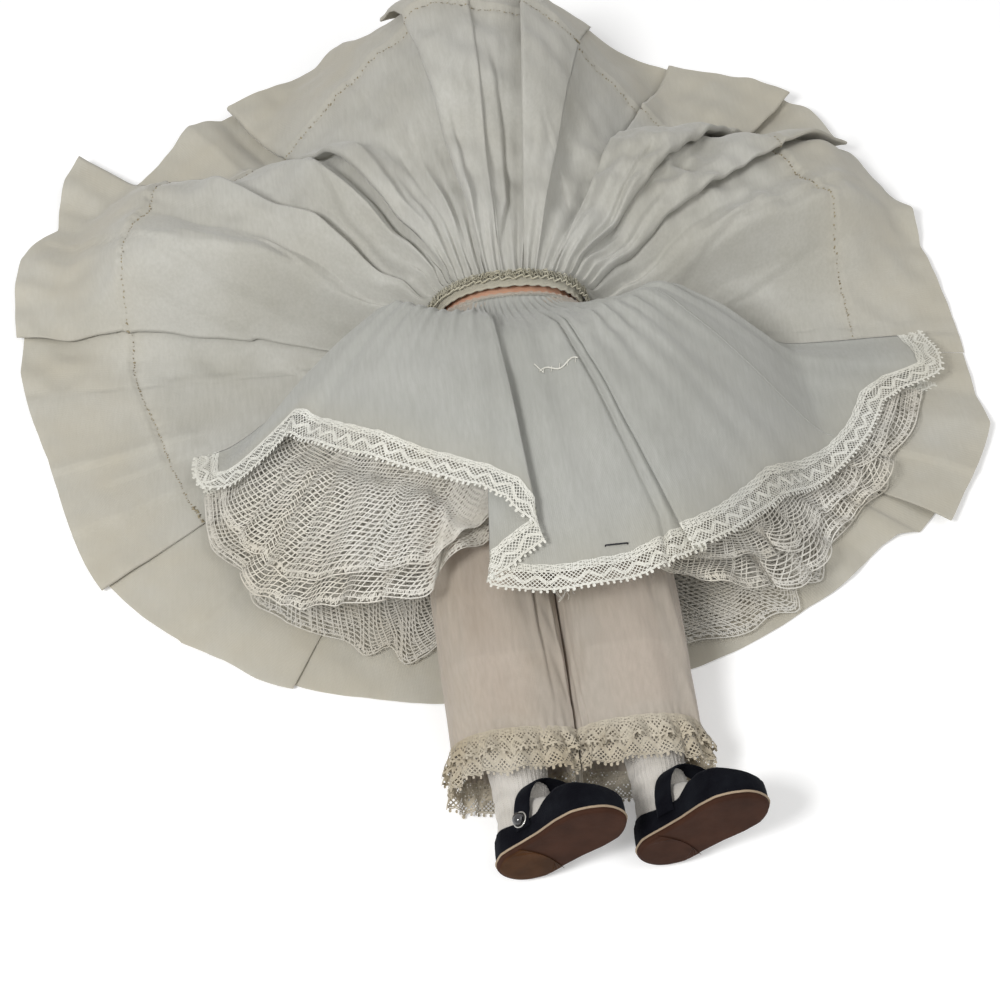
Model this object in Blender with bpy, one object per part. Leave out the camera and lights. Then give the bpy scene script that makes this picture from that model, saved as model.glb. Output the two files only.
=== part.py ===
# Dressed doll lying on its back, its dress skirt turned up over the upper body.
# Metres, +Z up. The origin is on the floor under the middle of the hip line.
# The head points to +Y, the feet to -Y, and the doll's left side is +X.
import math

import bmesh
import bpy
import numpy as np
from mathutils import Matrix, Vector
from mathutils.bvhtree import BVHTree

# General clearances and walls
GAP = 0.0004              # air between two pieces that touch on the real doll
SHELL_WALL = 0.0022       # wall of the hard body parts
CLOTH = 0.0008            # thickness of dress and underwear cloth
NET = 0.0005              # thickness of a net flounce
SKIRT_CLOTH = 0.0010      # thickness of the skirt
DRAPE_CLEAR = 0.0022      # air under cloth that lies over the body
WELD = 0.000002           # points closer than this are one point

# Body: lengths along Y, widths along X, depths along Z
HIP_HEIGHT = 0.0260       # hip axis above the floor
WAIST_Y = 0.045
SHOULDER_Y = 0.100
SHOULDER_HEIGHT = 0.0235
NECK_Y = 0.112
NECK_RADIUS = 0.0120
NECK_HEIGHT = 0.0330      # neck axis above the floor
CROTCH_RADIUS = 0.0132
PELVIS_HALF = 0.0130      # half width of the block between the legs
HIP_HALF = 0.0330
HIP_DEPTH = 0.0185
WAIST_HALF = 0.0260
WAIST_DEPTH = 0.0178
CHEST_HALF = 0.0330
CHEST_DEPTH = 0.0200
TORSO_MID_HEIGHT = 0.0255
BODY_FULLNESS = 2.3       # squareness of the torso's rings
HIP_SOCKET_RADIUS = 0.0205
SIT_CLEAR_Y = 0.0190      # front of the leg opening, clear of a raised thigh

# Head
HEAD_HALF = 0.0285
HEAD_DEPTH = 0.0300
CHIN_Y = 0.1190
CROWN_Y = 0.1930
NOSE_HEIGHT = 0.0030
WIG_THICK = 0.0030
EYE_RADIUS = 0.0034

# Arms: the pivot disc, then the limb down to the fingertips
ARM_X = 0.0425
ARM_DISC_RADIUS = 0.0115
ARM_INNER_X = 0.0345
ARM_UPPER_LENGTH = 0.0480
ARM_FORE_LENGTH = 0.0560  # elbow to fingertips
ARM_UPPER_TURN = 72.0     # degrees out from the body's side
ARM_FORE_TURN = 122.0     # the arms are bent, hands up beside the head
ARM_UPPER_RADIUS = 0.0092
ARM_WRIST_RADIUS = 0.0054
HAND_HALF = 0.0074
ARM_WIDTH_SHARES = (
    (0.0, 1.16), (0.12, 1.02), (0.30, 0.96), (0.42, 0.90), (0.50, 0.90),
    (0.60, 0.88), (0.80, 0.60),
)
ARM_HAND_SHARES = (
    (0.85, 0.80, 1.0), (0.91, 1.0, 0.80), (0.97, 0.80, 0.62), (1.0, 0.35, 0.35),
)

# Legs: the pivot disc, then the limb down to the ankle
LEG_X = 0.0230
LEG_INNER_X = 0.0134
LEG_DISC_RADIUS = 0.0192
THIGH_HALF = 0.0130
THIGH_DEPTH = 0.0172
CALF_DEPTH = 0.0128
ANKLE_Y = -0.1690
ANKLE_SHIFT = 0.0030      # both feet lean to the doll's left
ANKLE_HEIGHT = 0.0125
KNEE_CLEAR_Y = -0.0300
LEG_SHARES = (
    # share of the way, share of the drop, half width, half depth
    (0.06, 0.00, 0.98, 1.00), (0.17, 0.04, 1.02, 1.00), (0.30, 0.12, 1.0, 0.93),
    (0.45, 0.22, 0.93, 0.82), (0.58, 0.30, 0.80, 0.68), (0.70, 0.42, 0.90, 0.74),
    (0.82, 0.66, 0.76, 0.62), (0.93, 0.92, 0.60, 0.50), (1.0, 1.0, 0.58, 0.47),
)

# Feet and shoes
TOE_TURN = 46.0           # degrees the toes lean from straight up to the left
SOLE_Y = -0.1850
SOLE_THICK = 0.0022
FOOT_LENGTH = 0.0440
FOOT_BACK = 0.0085        # heel behind the ankle axis
FOOT_HALF = 0.0078
INSTEP = 0.0150
FOOT_SHARES = (
    # share of the length, share of the half width, height share
    (0.00, 0.45, 0.50), (0.05, 0.80, 0.80), (0.16, 0.96, 1.00), (0.34, 0.94, 1.00),
    (0.50, 0.98, 0.78), (0.66, 1.12, 0.60), (0.80, 1.12, 0.50), (0.92, 0.90, 0.42),
    (0.98, 0.55, 0.34), (1.00, 0.28, 0.26),
)
SOCK_TOP_SHARE = 0.82     # the sock starts here on the way from hip to ankle
SOCK_GROW = 0.0010
FOOT_LIFT = SOCK_GROW + GAP * 2.5    # bare foot above the shoe sole: sock and lining
SHOE_GROW = 0.0030
STRAP_GROW = 0.0043
STRAP_WIDTH = 0.0055
STRAP_SHARE = 0.26        # where the strap crosses, from the ankle
SHOE_COLLAR = 0.0085
BUTTON_RADIUS = 0.0026
BUTTON_THICK = 0.0016
BUTTON_RING = 0.0007

# Bodice, sleeves and waist
BODICE_GROW = 0.0012
BODICE_NECK_Y = 0.1080
SKIRT_RING_OUT = 0.0046   # gathered waist edges, measured out from the hard waist
EDGE_RING_OUT = 0.0029
PETTI_RING_OUT = 0.0034
WAISTBAND_WIDTH = 0.0060
SLEEVE_LENGTH = 0.0300
SLEEVE_PUFF = 0.0045
SNAP_RADIUS = 0.0030
SNAP_THICK = 0.0014
SNAP_PITCH = 0.0160
SNAP_COUNT = 3

# Skirt: a full circle of deep overlapping pleats
SKIRT_RADIUS = 0.1870
SKIRT_PLEAT_HEIGHT = 0.0090
SKIRT_FLOOR_PLEAT = 0.42  # share of that height where the skirt lies on the floor
SKIRT_FLAT_SHARE = 0.84   # the floor half is flat up to here, under the net flounces
SKIRT_RISE_TURN = 18.0    # degrees over which the skirt climbs from the floor to the arms
HEM_SHARE = 0.72          # where the deep hem's seam runs, from waist to edge
HEM_STEP = 0.0007
SKIRT_FOLD_SHARES = (
    # plan angle from the doll's left, share of the radius, share of the pleat height
    (0, 0.965, 0.15), (8, 0.965, 0.45), (13, 0.97, 0.10), (18, 0.995, 0.70),
    (22, 0.962, 0.40), (27, 0.97, 0.10), (31, 0.985, 1.00), (36, 1.01, 0.70),
    (41, 1.03, 0.20), (44, 1.03, 1.00), (52, 1.01, 0.75), (60, 1.00, 0.55),
    (69, 0.995, 0.35), (77, 0.99, 0.95), (81, 0.985, 0.05), (90, 0.985, 0.55),
    (97, 0.985, 1.00), (101, 0.985, 0.05), (107, 0.99, 0.55), (114, 0.99, 0.75),
    (120, 0.985, 1.00), (125, 0.995, 0.30), (130, 1.005, 0.90), (135, 1.00, 0.45),
    (140, 0.99, 0.05), (143.5, 1.13, 1.00), (149, 1.11, 0.60), (153, 1.07, 0.25),
    (158, 1.09, 0.80), (164, 1.08, 1.00), (170, 1.055, 0.90), (174, 1.04, 0.00),
    (181, 1.01, 0.30), (189, 0.98, 0.05), (195, 0.98, 0.30), (201, 0.985, 0.60),
    (205, 0.99, 0.35), (210, 1.00, 0.80), (213.5, 0.98, 0.00), (221, 0.97, 0.10),
    (229, 0.945, 0.60), (232, 0.94, 0.00), (237, 0.935, 0.80), (240.5, 0.915, 0.00),
    (250, 0.885, 0.00), (261, 0.86, 0.00), (269, 0.855, 0.00), (278, 0.855, 0.00),
    (287, 0.865, 0.00), (296, 0.865, 0.00), (305, 0.87, 0.00), (313, 0.885, 0.45),
    (317, 0.885, 0.05), (321, 0.905, 0.45), (324, 0.94, 0.00), (327.5, 0.985, 0.90),
    (335, 0.995, 0.60), (342, 1.005, 0.85), (345.5, 0.985, 0.10), (350, 0.973, 0.45),
    (355, 0.965, 0.10),
)

# Petticoat: front and back joined at folds on both sides
PETTI_RADIUS = 0.1400
PETTI_RIGHT = -7.0        # plan angle of the nets' fold on the doll's left side
PETTI_LEFT = -161.0
PETTI_PLEAT_HEIGHT = 0.0054
PETTI_SHARES = (
    (-4, 1.12), (-11, 1.16), (-16, 1.00), (-48, 0.91), (-67, 0.99), (-84, 1.035),
    (-97, 1.02), (-101, 0.86), (-111, 0.74), (-130, 0.71), (-149, 0.71), (-155, 0.90),
    (-163, 0.90),
)
PETTI_FOLD_SHARES = (
    # front of the petticoat: plan angle, share of the radius, share of the pleat height
    (-7, 1.14, 0.0), (-11.5, 1.15, 0.1), (-17, 1.00, 0.1), (-24, 0.985, 0.2),
    (-31, 0.96, 0.4), (-38, 0.93, 0.5), (-48, 0.915, 0.2), (-58, 0.94, 0.4),
    (-66, 0.985, 0.6), (-70.5, 1.00, 0.55), (-73, 1.003, 0.1), (-80, 1.03, 0.15),
    (-87, 1.035, 0.25), (-93, 1.03, 0.15), (-98, 1.02, 0.1), (-101, 1.00, 0.15),
    (-101.3, 0.995, 0.4), (-96, 0.94, 0.55), (-91.6, 0.885, 0.7), (-91.3, 0.87, 1.0),
    (-95, 0.81, 1.0), (-101, 0.77, 1.0),
    (-108, 0.74, 0.8), (-117, 0.722, 0.6), (-126, 0.708, 0.75), (-136, 0.70, 0.45),
    (-144, 0.703, 0.3), (-150, 0.74, 0.1), (-155.5, 0.90, 0.0), (-161, 0.90, 0.0),
)
PETTI_BACK_SHARES = (0.965, 0.92, 0.81, 0.68, 0.55, 0.42, 0.29, 0.175, 0.08, 0.03)
PETTI_RING_Y = 0.0395
LACE_WIDTH = 0.0090

# Two net flounces under the petticoat
NET_RADIUS = 0.1600
NET_START_SHARE = 0.34
NET_RUFFLES = 5
NET_RUFFLE_HEIGHT = 0.0065
NET_FREE = 0.0200         # over this much past the petticoat the ruffles stand up
NET_SHARES = (
    (-4, 0.97), (-14, 1.02), (-30, 1.0), (-45, 0.98), (-60, 1.03), (-72, 0.98),
    (-80, 0.80), (-100, 0.78), (-108, 0.95), (-128, 0.98), (-145, 0.92), (-157, 0.82),
    (-163, 0.80),
)
NET_UPPER_SHARE = 0.93
RUFFLE_CALM = 5.0         # ruffles reach full height this part of the way in from the sides
NET_EDGE_TURN = 3.4       # degrees each layer's side fold lies inside the next

# Levels of the flat cloth layers above whatever they lie on
SKIRT_LEVEL = 0.0005
PETTI_BACK_LEVEL = 0.0018
UPPER_BACK_LEVEL = 0.0029
LOWER_BACK_LEVEL = 0.0039
FRONT_BASE_LEVEL = 0.0042
LOWER_FRONT_RISE = 0.0006
UPPER_FRONT_RISE = 0.0029
PETTI_FRONT_RISE = 0.0056
RAISED_SPREAD = 1.2       # extra share of air between layers where they are lifted
BODY_SPREAD = 0.0080      # how far cloth stays level past what lifts it
LEG_SPREAD = 0.0100

# Pantalettes
PANTS_HALF = 0.0205
PANTS_TOP_Y = 0.0375
PANTS_SPLIT_Y = -0.0260
PANTS_HEM_Y = -0.1480
PANTS_GROW = 0.0022
PANTS_FOLDS = 9
PANTS_FOLD_HEIGHT = 0.0006
CUFF_LENGTH = 0.0120
CUFF_FLARE = 0.0022
CUFF_RUFFLES = 14
CUFF_RUFFLE_HEIGHT = 0.0010

# Elastics and hooks inside the body
ELASTIC_RADIUS = 0.0012
HOOK_RADIUS = 0.0008
HOOK_EYE_RADIUS = 0.0032
HOOK_REACH = 0.0060

# Counts of faces and grid cells
RING_FACES = 16
SMALL_FACES = 12
TORSO_FACES = 24
SKIRT_ALONG = 9
TUBE_AROUND = 38
TUBE_ALONG = 8
NET_ALONG = 5
PANTS_AROUND = 18
PANTS_ALONG = 6
CUFF_AROUND = 36
WAIST_AROUND = 28
FIELD_CELL = 0.0025
FIELD_HALF = 0.2600
SOFT_BODY = 5             # rounds of smoothing of the cloth over the body and legs
SOFT_LEGS = 16
CLOTH_SLOPE = 1.0         # steepest fall of cloth beside what it lies on

SIDES = {"left": 1, "right": -1}


# Small helpers
def smooth(value):
    value = min(max(value, 0), 1)
    return value * value * (3 - 2 * value)


def mix(first, second, share):
    return first + (second - first) * share


def from_table(table, value):
    xs = [row[0] for row in table]
    ys = [row[1] for row in table]
    if xs[0] > xs[-1]:
        xs, ys = xs[::-1], ys[::-1]
    return float(np.interp(value, xs, ys))


def material(name, colour, roughness, metallic=0.0):
    mat = bpy.data.materials.new(name)
    mat.use_nodes = True
    shader = mat.node_tree.nodes["Principled BSDF"]
    shader.inputs["Base Color"].default_value = (*colour, 1)
    shader.inputs["Roughness"].default_value = roughness
    shader.inputs["Metallic"].default_value = metallic
    mat.diffuse_color = (*colour, 1)
    return mat


def add_object(name, mesh, look=None, round_piece=True):
    obj = bpy.data.objects.new(name, mesh)
    bpy.context.scene.collection.objects.link(obj)
    if look:
        mesh.materials.clear()
        mesh.materials.append(material(name + "_look", *look))
    for face in mesh.polygons:
        face.use_smooth = round_piece
    return obj


def mesh_from(points, faces, name="solid"):
    mesh = bpy.data.meshes.new(name)
    mesh.from_pydata([tuple(p) for p in points], [], faces)
    work = bmesh.new()
    work.from_mesh(mesh)
    bmesh.ops.recalc_face_normals(work, faces=work.faces)
    if work.calc_volume(signed=True) < 0:
        bmesh.ops.reverse_faces(work, faces=work.faces)
    work.to_mesh(mesh)
    work.free()
    return mesh


# A solid lofted through rings that all have the same number of points
def loft(rings, name="loft"):
    count = len(rings[0])
    points = [p for ring in rings for p in ring]
    faces = [list(range(count)), [len(points) - count + k for k in range(count)]]
    for r in range(len(rings) - 1):
        for k in range(count):
            a, b = r * count + k, r * count + (k + 1) % count
            faces.append((a, b, b + count, a + count))
    return mesh_from(points, faces, name)


# A closed sheet of cloth: rows of points from its start to its hem, joined round
def tube_sheet(rows, thickness, name="cloth"):
    grid = np.array([[tuple(p) for p in row] for row in rows])
    along = np.gradient(grid, axis=0)
    around = np.roll(grid, -1, axis=1) - np.roll(grid, 1, axis=1)
    normal = np.cross(along, around)
    normal /= np.maximum(np.linalg.norm(normal, axis=2, keepdims=True), 1e-12)
    half = thickness / 2
    return skin(grid + normal * half, grid - normal * half, name)


def skin(outer, inner, name="cloth"):
    rows, count = outer.shape[0], outer.shape[1]
    total = rows * count
    faces = []
    for r in range(rows - 1):
        for k in range(count):
            a, b = r * count + k, r * count + (k + 1) % count
            faces.append((a, b, b + count, a + count))
            faces.append((a + total, a + total + count, b + total + count, b + total))
    for k in range(count):
        nxt = (k + 1) % count
        faces.append((k, k + total, nxt + total, nxt))
        base = total - count
        faces.append((base + k, base + nxt, base + nxt + total, base + k + total))
    points = list(outer.reshape(-1, 3)) + list(inner.reshape(-1, 3))
    return mesh_from(points, faces, name)


def baked(obj):
    graph = bpy.context.evaluated_depsgraph_get()
    mesh = bpy.data.meshes.new_from_object(obj.evaluated_get(graph))
    work = bmesh.new()
    work.from_mesh(mesh)
    bmesh.ops.remove_doubles(work, verts=work.verts, dist=WELD)
    bmesh.ops.dissolve_degenerate(work, edges=work.edges, dist=WELD)
    work.to_mesh(mesh)
    work.free()
    old = obj.data
    obj.modifiers.clear()
    obj.data = mesh
    bpy.data.meshes.remove(old)
    return obj


# Boolean of one object with helper solids, which are removed afterwards
def combine(obj, tools, operation):
    for tool in tools:
        step = obj.modifiers.new(operation.lower(), "BOOLEAN")
        step.operation = operation
        step.solver = "EXACT"
        step.object = tool
    baked(obj)
    for tool in tools:
        bpy.data.objects.remove(tool)
    return obj


def cut(obj, *tools):
    return combine(obj, tools, "DIFFERENCE")


def join(obj, *tools):
    return combine(obj, tools, "UNION")


def keep(obj, *tools):
    return combine(obj, tools, "INTERSECT")


def box(low, high):
    low, high = Vector(low), Vector(high)
    work = bmesh.new()
    bmesh.ops.create_cube(work, size=1)
    bmesh.ops.scale(work, verts=work.verts, vec=high - low)
    bmesh.ops.translate(work, verts=work.verts, vec=(low + high) / 2)
    mesh = bpy.data.meshes.new("box")
    work.to_mesh(mesh)
    work.free()
    return add_object("tool_box", mesh)


def rod(start, end, radius, faces=RING_FACES, end_radius=None):
    start, end = Vector(start), Vector(end)
    work = bmesh.new()
    tip = radius if end_radius is None else end_radius
    bmesh.ops.create_cone(work, cap_ends=True, segments=faces, radius1=radius,
                          radius2=tip, depth=(end - start).length)
    turn = (end - start).to_track_quat("Z", "Y").to_matrix().to_4x4()
    bmesh.ops.transform(work, matrix=Matrix.Translation((start + end) / 2) @ turn,
                        verts=work.verts)
    mesh = bpy.data.meshes.new("rod")
    work.to_mesh(mesh)
    work.free()
    return add_object("tool_rod", mesh)


# A wire that follows a list of points, closed or with flat ends
def wire(name, path, radius, look, closed=False, faces=8):
    path = [Vector(p) for p in path]
    count = len(path)
    side = Vector((0, 0, 1))
    rings = []
    for k, point in enumerate(path):
        before = path[k - 1] if closed or k else path[0]
        after = path[(k + 1) % count] if closed or k < count - 1 else path[-1]
        ahead = (after - before).normalized()
        across = ahead.cross(side)
        if across.length < 0.1:
            across = ahead.cross(Vector((0, 1, 0)))
        across.normalize()
        up = across.cross(ahead).normalized()
        rings.append([point + across * radius * math.cos(math.tau * j / faces)
                      + up * radius * math.sin(math.tau * j / faces) for j in range(faces)])
    if not closed:
        return add_object(name, loft(rings, name), look)
    rings.append(rings[0])
    grid = [p for ring in rings[:-1] for p in ring]
    faces_list = []
    for r in range(count):
        for j in range(faces):
            a, b = r * faces + j, r * faces + (j + 1) % faces
            c, d = ((r + 1) % count) * faces + j, ((r + 1) % count) * faces + (j + 1) % faces
            faces_list.append((a, b, d, c))
    return add_object(name, mesh_from(grid, faces_list, name), look)


def power(value, exponent):
    return math.copysign(abs(value) ** exponent, value)


# Oval ring in a plane square to Y
def oval(y, cx, cz, half_x, half_z, count=RING_FACES, fullness=2.0):
    ring = []
    for k in range(count):
        angle = math.tau * k / count
        x = cx + half_x * power(math.cos(angle), 2 / fullness)
        z = cz + half_z * power(math.sin(angle), 2 / fullness)
        ring.append(Vector((x, y, z)))
    return ring


# Torso
def torso_tables():
    span = NECK_Y - WAIST_Y
    table_half = (
        (-CROTCH_RADIUS, HIP_HALF * 0.45), (0, HIP_HALF * 0.8), (WAIST_Y * 0.42, HIP_HALF),
        (WAIST_Y, WAIST_HALF), (WAIST_Y + span * 0.35, CHEST_HALF * 0.92),
        (WAIST_Y + span * 0.55, CHEST_HALF), (SHOULDER_Y, CHEST_HALF * 0.98),
        (SHOULDER_Y + (NECK_Y - SHOULDER_Y) * 0.6, CHEST_HALF * 0.72),
        (NECK_Y, NECK_RADIUS + SHELL_WALL),
    )
    table_depth = (
        (-CROTCH_RADIUS, HIP_DEPTH * 0.35), (-CROTCH_RADIUS * 0.7, HIP_DEPTH * 0.62),
        (0, HIP_DEPTH * 0.86), (WAIST_Y * 0.42, HIP_DEPTH), (WAIST_Y, WAIST_DEPTH),
        (WAIST_Y + span * 0.45, CHEST_DEPTH), (SHOULDER_Y, CHEST_DEPTH * 0.86),
        (NECK_Y, NECK_RADIUS + SHELL_WALL),
    )
    table_mid = (
        (-CROTCH_RADIUS, HIP_HEIGHT), (WAIST_Y, TORSO_MID_HEIGHT),
        (SHOULDER_Y, SHOULDER_HEIGHT + GAP), (NECK_Y, NECK_HEIGHT),
    )
    return table_half, table_depth, table_mid


def torso_size(y):
    return tuple(from_table(table, y) for table in torso_tables())


def torso_stations(low_y, high_y):
    knots = {row[0] for table in torso_tables() for row in table if row[0] < NECK_Y}
    inside = [y for y in sorted(knots) if low_y + GAP < y < high_y - GAP]
    return [low_y] + inside + [high_y]


def torso_solid(grow, low_y, high_y):
    rings = []
    for y in torso_stations(low_y, high_y):
        sample = min(max(y, -CROTCH_RADIUS), NECK_Y)
        half, depth, mid = torso_size(sample)
        rings.append(oval(y, 0, mid, half + grow, depth + grow, TORSO_FACES,
                          BODY_FULLNESS))
    return add_object("torso_part", loft(rings))


# Room for a leg: its round seat below the axis, and the swing of the thigh in front
def leg_room(side):
    outline = []
    for k in range(RING_FACES + 1):
        angle = -math.pi * k / RING_FACES
        outline.append((HIP_SOCKET_RADIUS * math.cos(angle), HIP_SOCKET_RADIUS * math.sin(angle)))
    outline += [(-HIP_SOCKET_RADIUS, HIP_DEPTH * 3), (SIT_CLEAR_Y, HIP_DEPTH * 3),
                (SIT_CLEAR_Y, HIP_SOCKET_RADIUS / 2)]
    rings = [[Vector((side * x, y, HIP_HEIGHT + z)) for y, z in outline]
             for x in (PELVIS_HALF, HIP_HALF * 2)]
    return add_object("leg_room", loft(rings))


def build_torso():
    halves = {}
    low = -CROTCH_RADIUS
    for name, sign in (("torso_front", 1), ("torso_back", -1)):
        shell = torso_solid(0, low, NECK_Y)
        hollow = torso_solid(-SHELL_WALL, low + SHELL_WALL, NECK_Y + SHELL_WALL)
        # The pelvis block is narrow, with side walls that the legs turn against
        well = PELVIS_HALF - SHELL_WALL
        for side in SIDES.values():
            cut(shell, leg_room(side))
            ends = sorted((side * well, side * (well + HIP_HALF * 1.3)))
            keep_low = box((ends[0], low - SHELL_WALL, 0),
                           (ends[1], SIT_CLEAR_Y + SHELL_WALL, HIP_HEIGHT * 3))
            cut(hollow, keep_low)
        seam = TORSO_MID_HEIGHT + sign * GAP / 2
        if sign > 0:
            cut(shell, box((-HIP_HALF * 2, -WAIST_Y, -HIP_HEIGHT),
                           (HIP_HALF * 2, NECK_Y * 2, seam)))
        else:
            cut(shell, box((-HIP_HALF * 2, -WAIST_Y, seam),
                           (HIP_HALF * 2, NECK_Y * 2, HIP_HEIGHT * 4)))
        cut(shell, hollow)
        hole = HOOK_EYE_RADIUS + ELASTIC_RADIUS
        reach = CHEST_HALF * 2
        cut(shell, rod((-reach, 0, HIP_HEIGHT), (reach, 0, HIP_HEIGHT), hole),
            rod((-reach, SHOULDER_Y, SHOULDER_HEIGHT), (reach, SHOULDER_Y, SHOULDER_HEIGHT),
                hole))
        shell.name = name
        halves[name] = shell
    looks = {"torso_front": (0.86, 0.62, 0.50), "torso_back": (0.84, 0.60, 0.48)}
    for name, shell in halves.items():
        shell.data.materials.clear()
        shell.data.materials.append(material(name + "_look", looks[name], 0.45))
    return halves


# Arms and legs
def arm_centre(share, side):
    total = ARM_UPPER_LENGTH + ARM_FORE_LENGTH
    upper = min(share * total, ARM_UPPER_LENGTH)
    fore = max(share * total - ARM_UPPER_LENGTH, 0)
    first, second = math.radians(ARM_UPPER_TURN), math.radians(ARM_FORE_TURN)
    x = ARM_X + upper * math.sin(first) + fore * math.sin(second)
    y = SHOULDER_Y - upper * math.cos(first) - fore * math.cos(second)
    return Vector((side * x, y, SHOULDER_HEIGHT))


# Ring round a bent limb, square to the way the limb runs there
def arm_ring(share, side, wide, high, count=RING_FACES):
    step = 0.03
    ahead = arm_centre(min(share + step, 1), side) - arm_centre(max(share - step, 0), side)
    start = Vector((side, 0, 0))
    ahead = start.lerp(ahead.normalized(), smooth(share * 9)).normalized()
    across = Vector((ahead.y, -ahead.x, 0)) * side
    centre = arm_centre(share, side)
    ring = []
    for k in range(count):
        angle = math.tau * k / count
        ring.append(centre + across * wide * math.cos(angle)
                    + Vector((0, 0, high * math.sin(angle))))
    return ring


def arm_solid(side):
    rings = []
    inner = ARM_INNER_X + GAP / 2
    for share, size in ((0, 0.86), (0.55, 1.0)):
        x = side * mix(inner, ARM_X, share)
        radius = ARM_DISC_RADIUS * size
        ring = arm_ring(0, side, radius, radius)
        rings.append([Vector((x, p.y, p.z)) for p in ring])
    for share, size in ARM_WIDTH_SHARES:
        radius = max(ARM_UPPER_RADIUS * size, ARM_WRIST_RADIUS)
        rings.append(arm_ring(share, side, radius, radius))
    for share, wide, thick in ARM_HAND_SHARES:
        rings.append(arm_ring(share, side, HAND_HALF * wide, ARM_WRIST_RADIUS * thick))
    return add_object("arm_part", loft(rings))


def build_arm(name, side):
    arm = arm_solid(side)
    root, tip = arm_centre(0.86, side), arm_centre(0.95, side)
    inward = Vector((-side * 0.7, 0.7, 0))
    thumb = rod(root + inward * HAND_HALF * 0.4, tip + inward * HAND_HALF * 1.25,
                HAND_HALF * 0.34, SMALL_FACES, HAND_HALF * 0.2)
    join(arm, thumb)
    arm.name = name + "_arm"
    arm.data.materials.clear()
    arm.data.materials.append(material(name + "_arm_look", (0.87, 0.63, 0.51), 0.42))
    put_origin(arm, (0, SHOULDER_Y, SHOULDER_HEIGHT))
    return arm


def put_origin(obj, point):
    shift = Vector(point) - obj.location
    obj.data.transform(Matrix.Translation(-shift))
    obj.location = Vector(point)
    return obj


# Leg: centre line and half sizes from the hip axis to the ankle
def leg_centre(share, side):
    lean = smooth((share - 0.4) / 0.6)
    x = side * LEG_X + ANKLE_SHIFT * lean
    drop = [(row[0], row[1]) for row in LEG_SHARES]
    z = mix(HIP_HEIGHT, ANKLE_HEIGHT, from_table(drop, share))
    return x, ANKLE_Y * share, z


def leg_size(share):
    wide = from_table([(row[0], row[2]) for row in LEG_SHARES], share)
    deep = from_table([(row[0], row[3]) for row in LEG_SHARES], share)
    return THIGH_HALF * wide, THIGH_DEPTH * deep


def leg_solid(side, grow=0.0, start=None):
    rings = []
    if start is None:
        disc = LEG_DISC_RADIUS
        for angle in (-82, -60, -35, -10):
            y = -disc * math.sin(math.radians(angle))
            height = disc * math.cos(math.radians(angle))
            outer = LEG_X + THIGH_HALF * (0.55 + 0.45 * math.cos(math.radians(angle)))
            rings.append(oval(y, side * (LEG_INNER_X + outer) / 2, HIP_HEIGHT,
                              (outer - LEG_INNER_X) / 2, height, RING_FACES, 3.2))
    first = 0 if start is None else start
    shares = [row[0] for row in LEG_SHARES if row[0] > first]
    if start is not None:
        shares = [start] + shares
    for share in shares:
        x, y, z = leg_centre(share, side)
        half, depth = leg_size(share)
        ring = oval(y, x, z, half + grow, depth + grow)
        if y > KNEE_CLEAR_Y and start is None:
            outer = abs(x) + half
            ring = oval(y, side * (LEG_INNER_X + outer) / 2, z,
                        (outer - LEG_INNER_X) / 2, depth, RING_FACES, 2.8)
        rings.append(ring)
    x, y, z = leg_centre(1.0, side)
    half, depth = leg_size(1.0)
    rings.append(oval(y - INSTEP * 0.4 - grow, x, z, half + grow, depth + grow))
    return add_object("leg_part", loft(rings))


def foot_axes(side):
    turn = math.radians(TOE_TURN)
    ahead = Vector((math.sin(turn), 0, math.cos(turn)))
    across = Vector((math.cos(turn), 0, -math.sin(turn)))
    x, y, z = leg_centre(1.0, side)
    return Vector((x, SOLE_Y + SOLE_THICK, z)), ahead, across


def foot_solid(side, grow=0.0):
    origin, ahead, across = foot_axes(side)
    up = Vector((0, 1, 0))
    rings = []
    for share, wide, high in FOOT_SHARES:
        along = mix(-FOOT_BACK, FOOT_LENGTH - FOOT_BACK, share)
        along += grow * (2 * share - 1)
        half = FOOT_HALF * wide + grow
        height = INSTEP * high + grow * 2
        centre = origin + ahead * along
        ring = []
        for k in range(RING_FACES):
            angle = math.tau * k / RING_FACES
            sideways = half * power(math.cos(angle), 0.8)
            level = height / 2 + (height / 2) * power(math.sin(angle), 0.8)
            ring.append(centre + across * sideways + up * (level + FOOT_LIFT - grow))
        rings.append(ring)
    return add_object("foot_part", loft(rings))


def give(obj, name, look, smooth_it=True):
    obj.name = name
    obj.data.name = name
    obj.data.materials.clear()
    obj.data.materials.append(material(name + "_look", *look))
    for face in obj.data.polygons:
        face.use_smooth = smooth_it
    return obj


def build_leg(name, side):
    leg = leg_solid(side)
    join(leg, foot_solid(side))
    give(leg, name + "_leg", ((0.87, 0.63, 0.51), 0.42))
    return put_origin(leg, (0, 0, HIP_HEIGHT))


def build_sock(name, side):
    sock = leg_solid(side, GAP + SOCK_GROW, SOCK_TOP_SHARE)
    join(sock, foot_solid(side, GAP + SOCK_GROW))
    inside = leg_solid(side, GAP, SOCK_TOP_SHARE - 0.12)
    join(inside, foot_solid(side, GAP))
    cut(sock, inside)
    give(sock, name + "_sock", ((0.90, 0.88, 0.84), 0.9))
    return put_origin(sock, (0, 0, HIP_HEIGHT))


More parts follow.
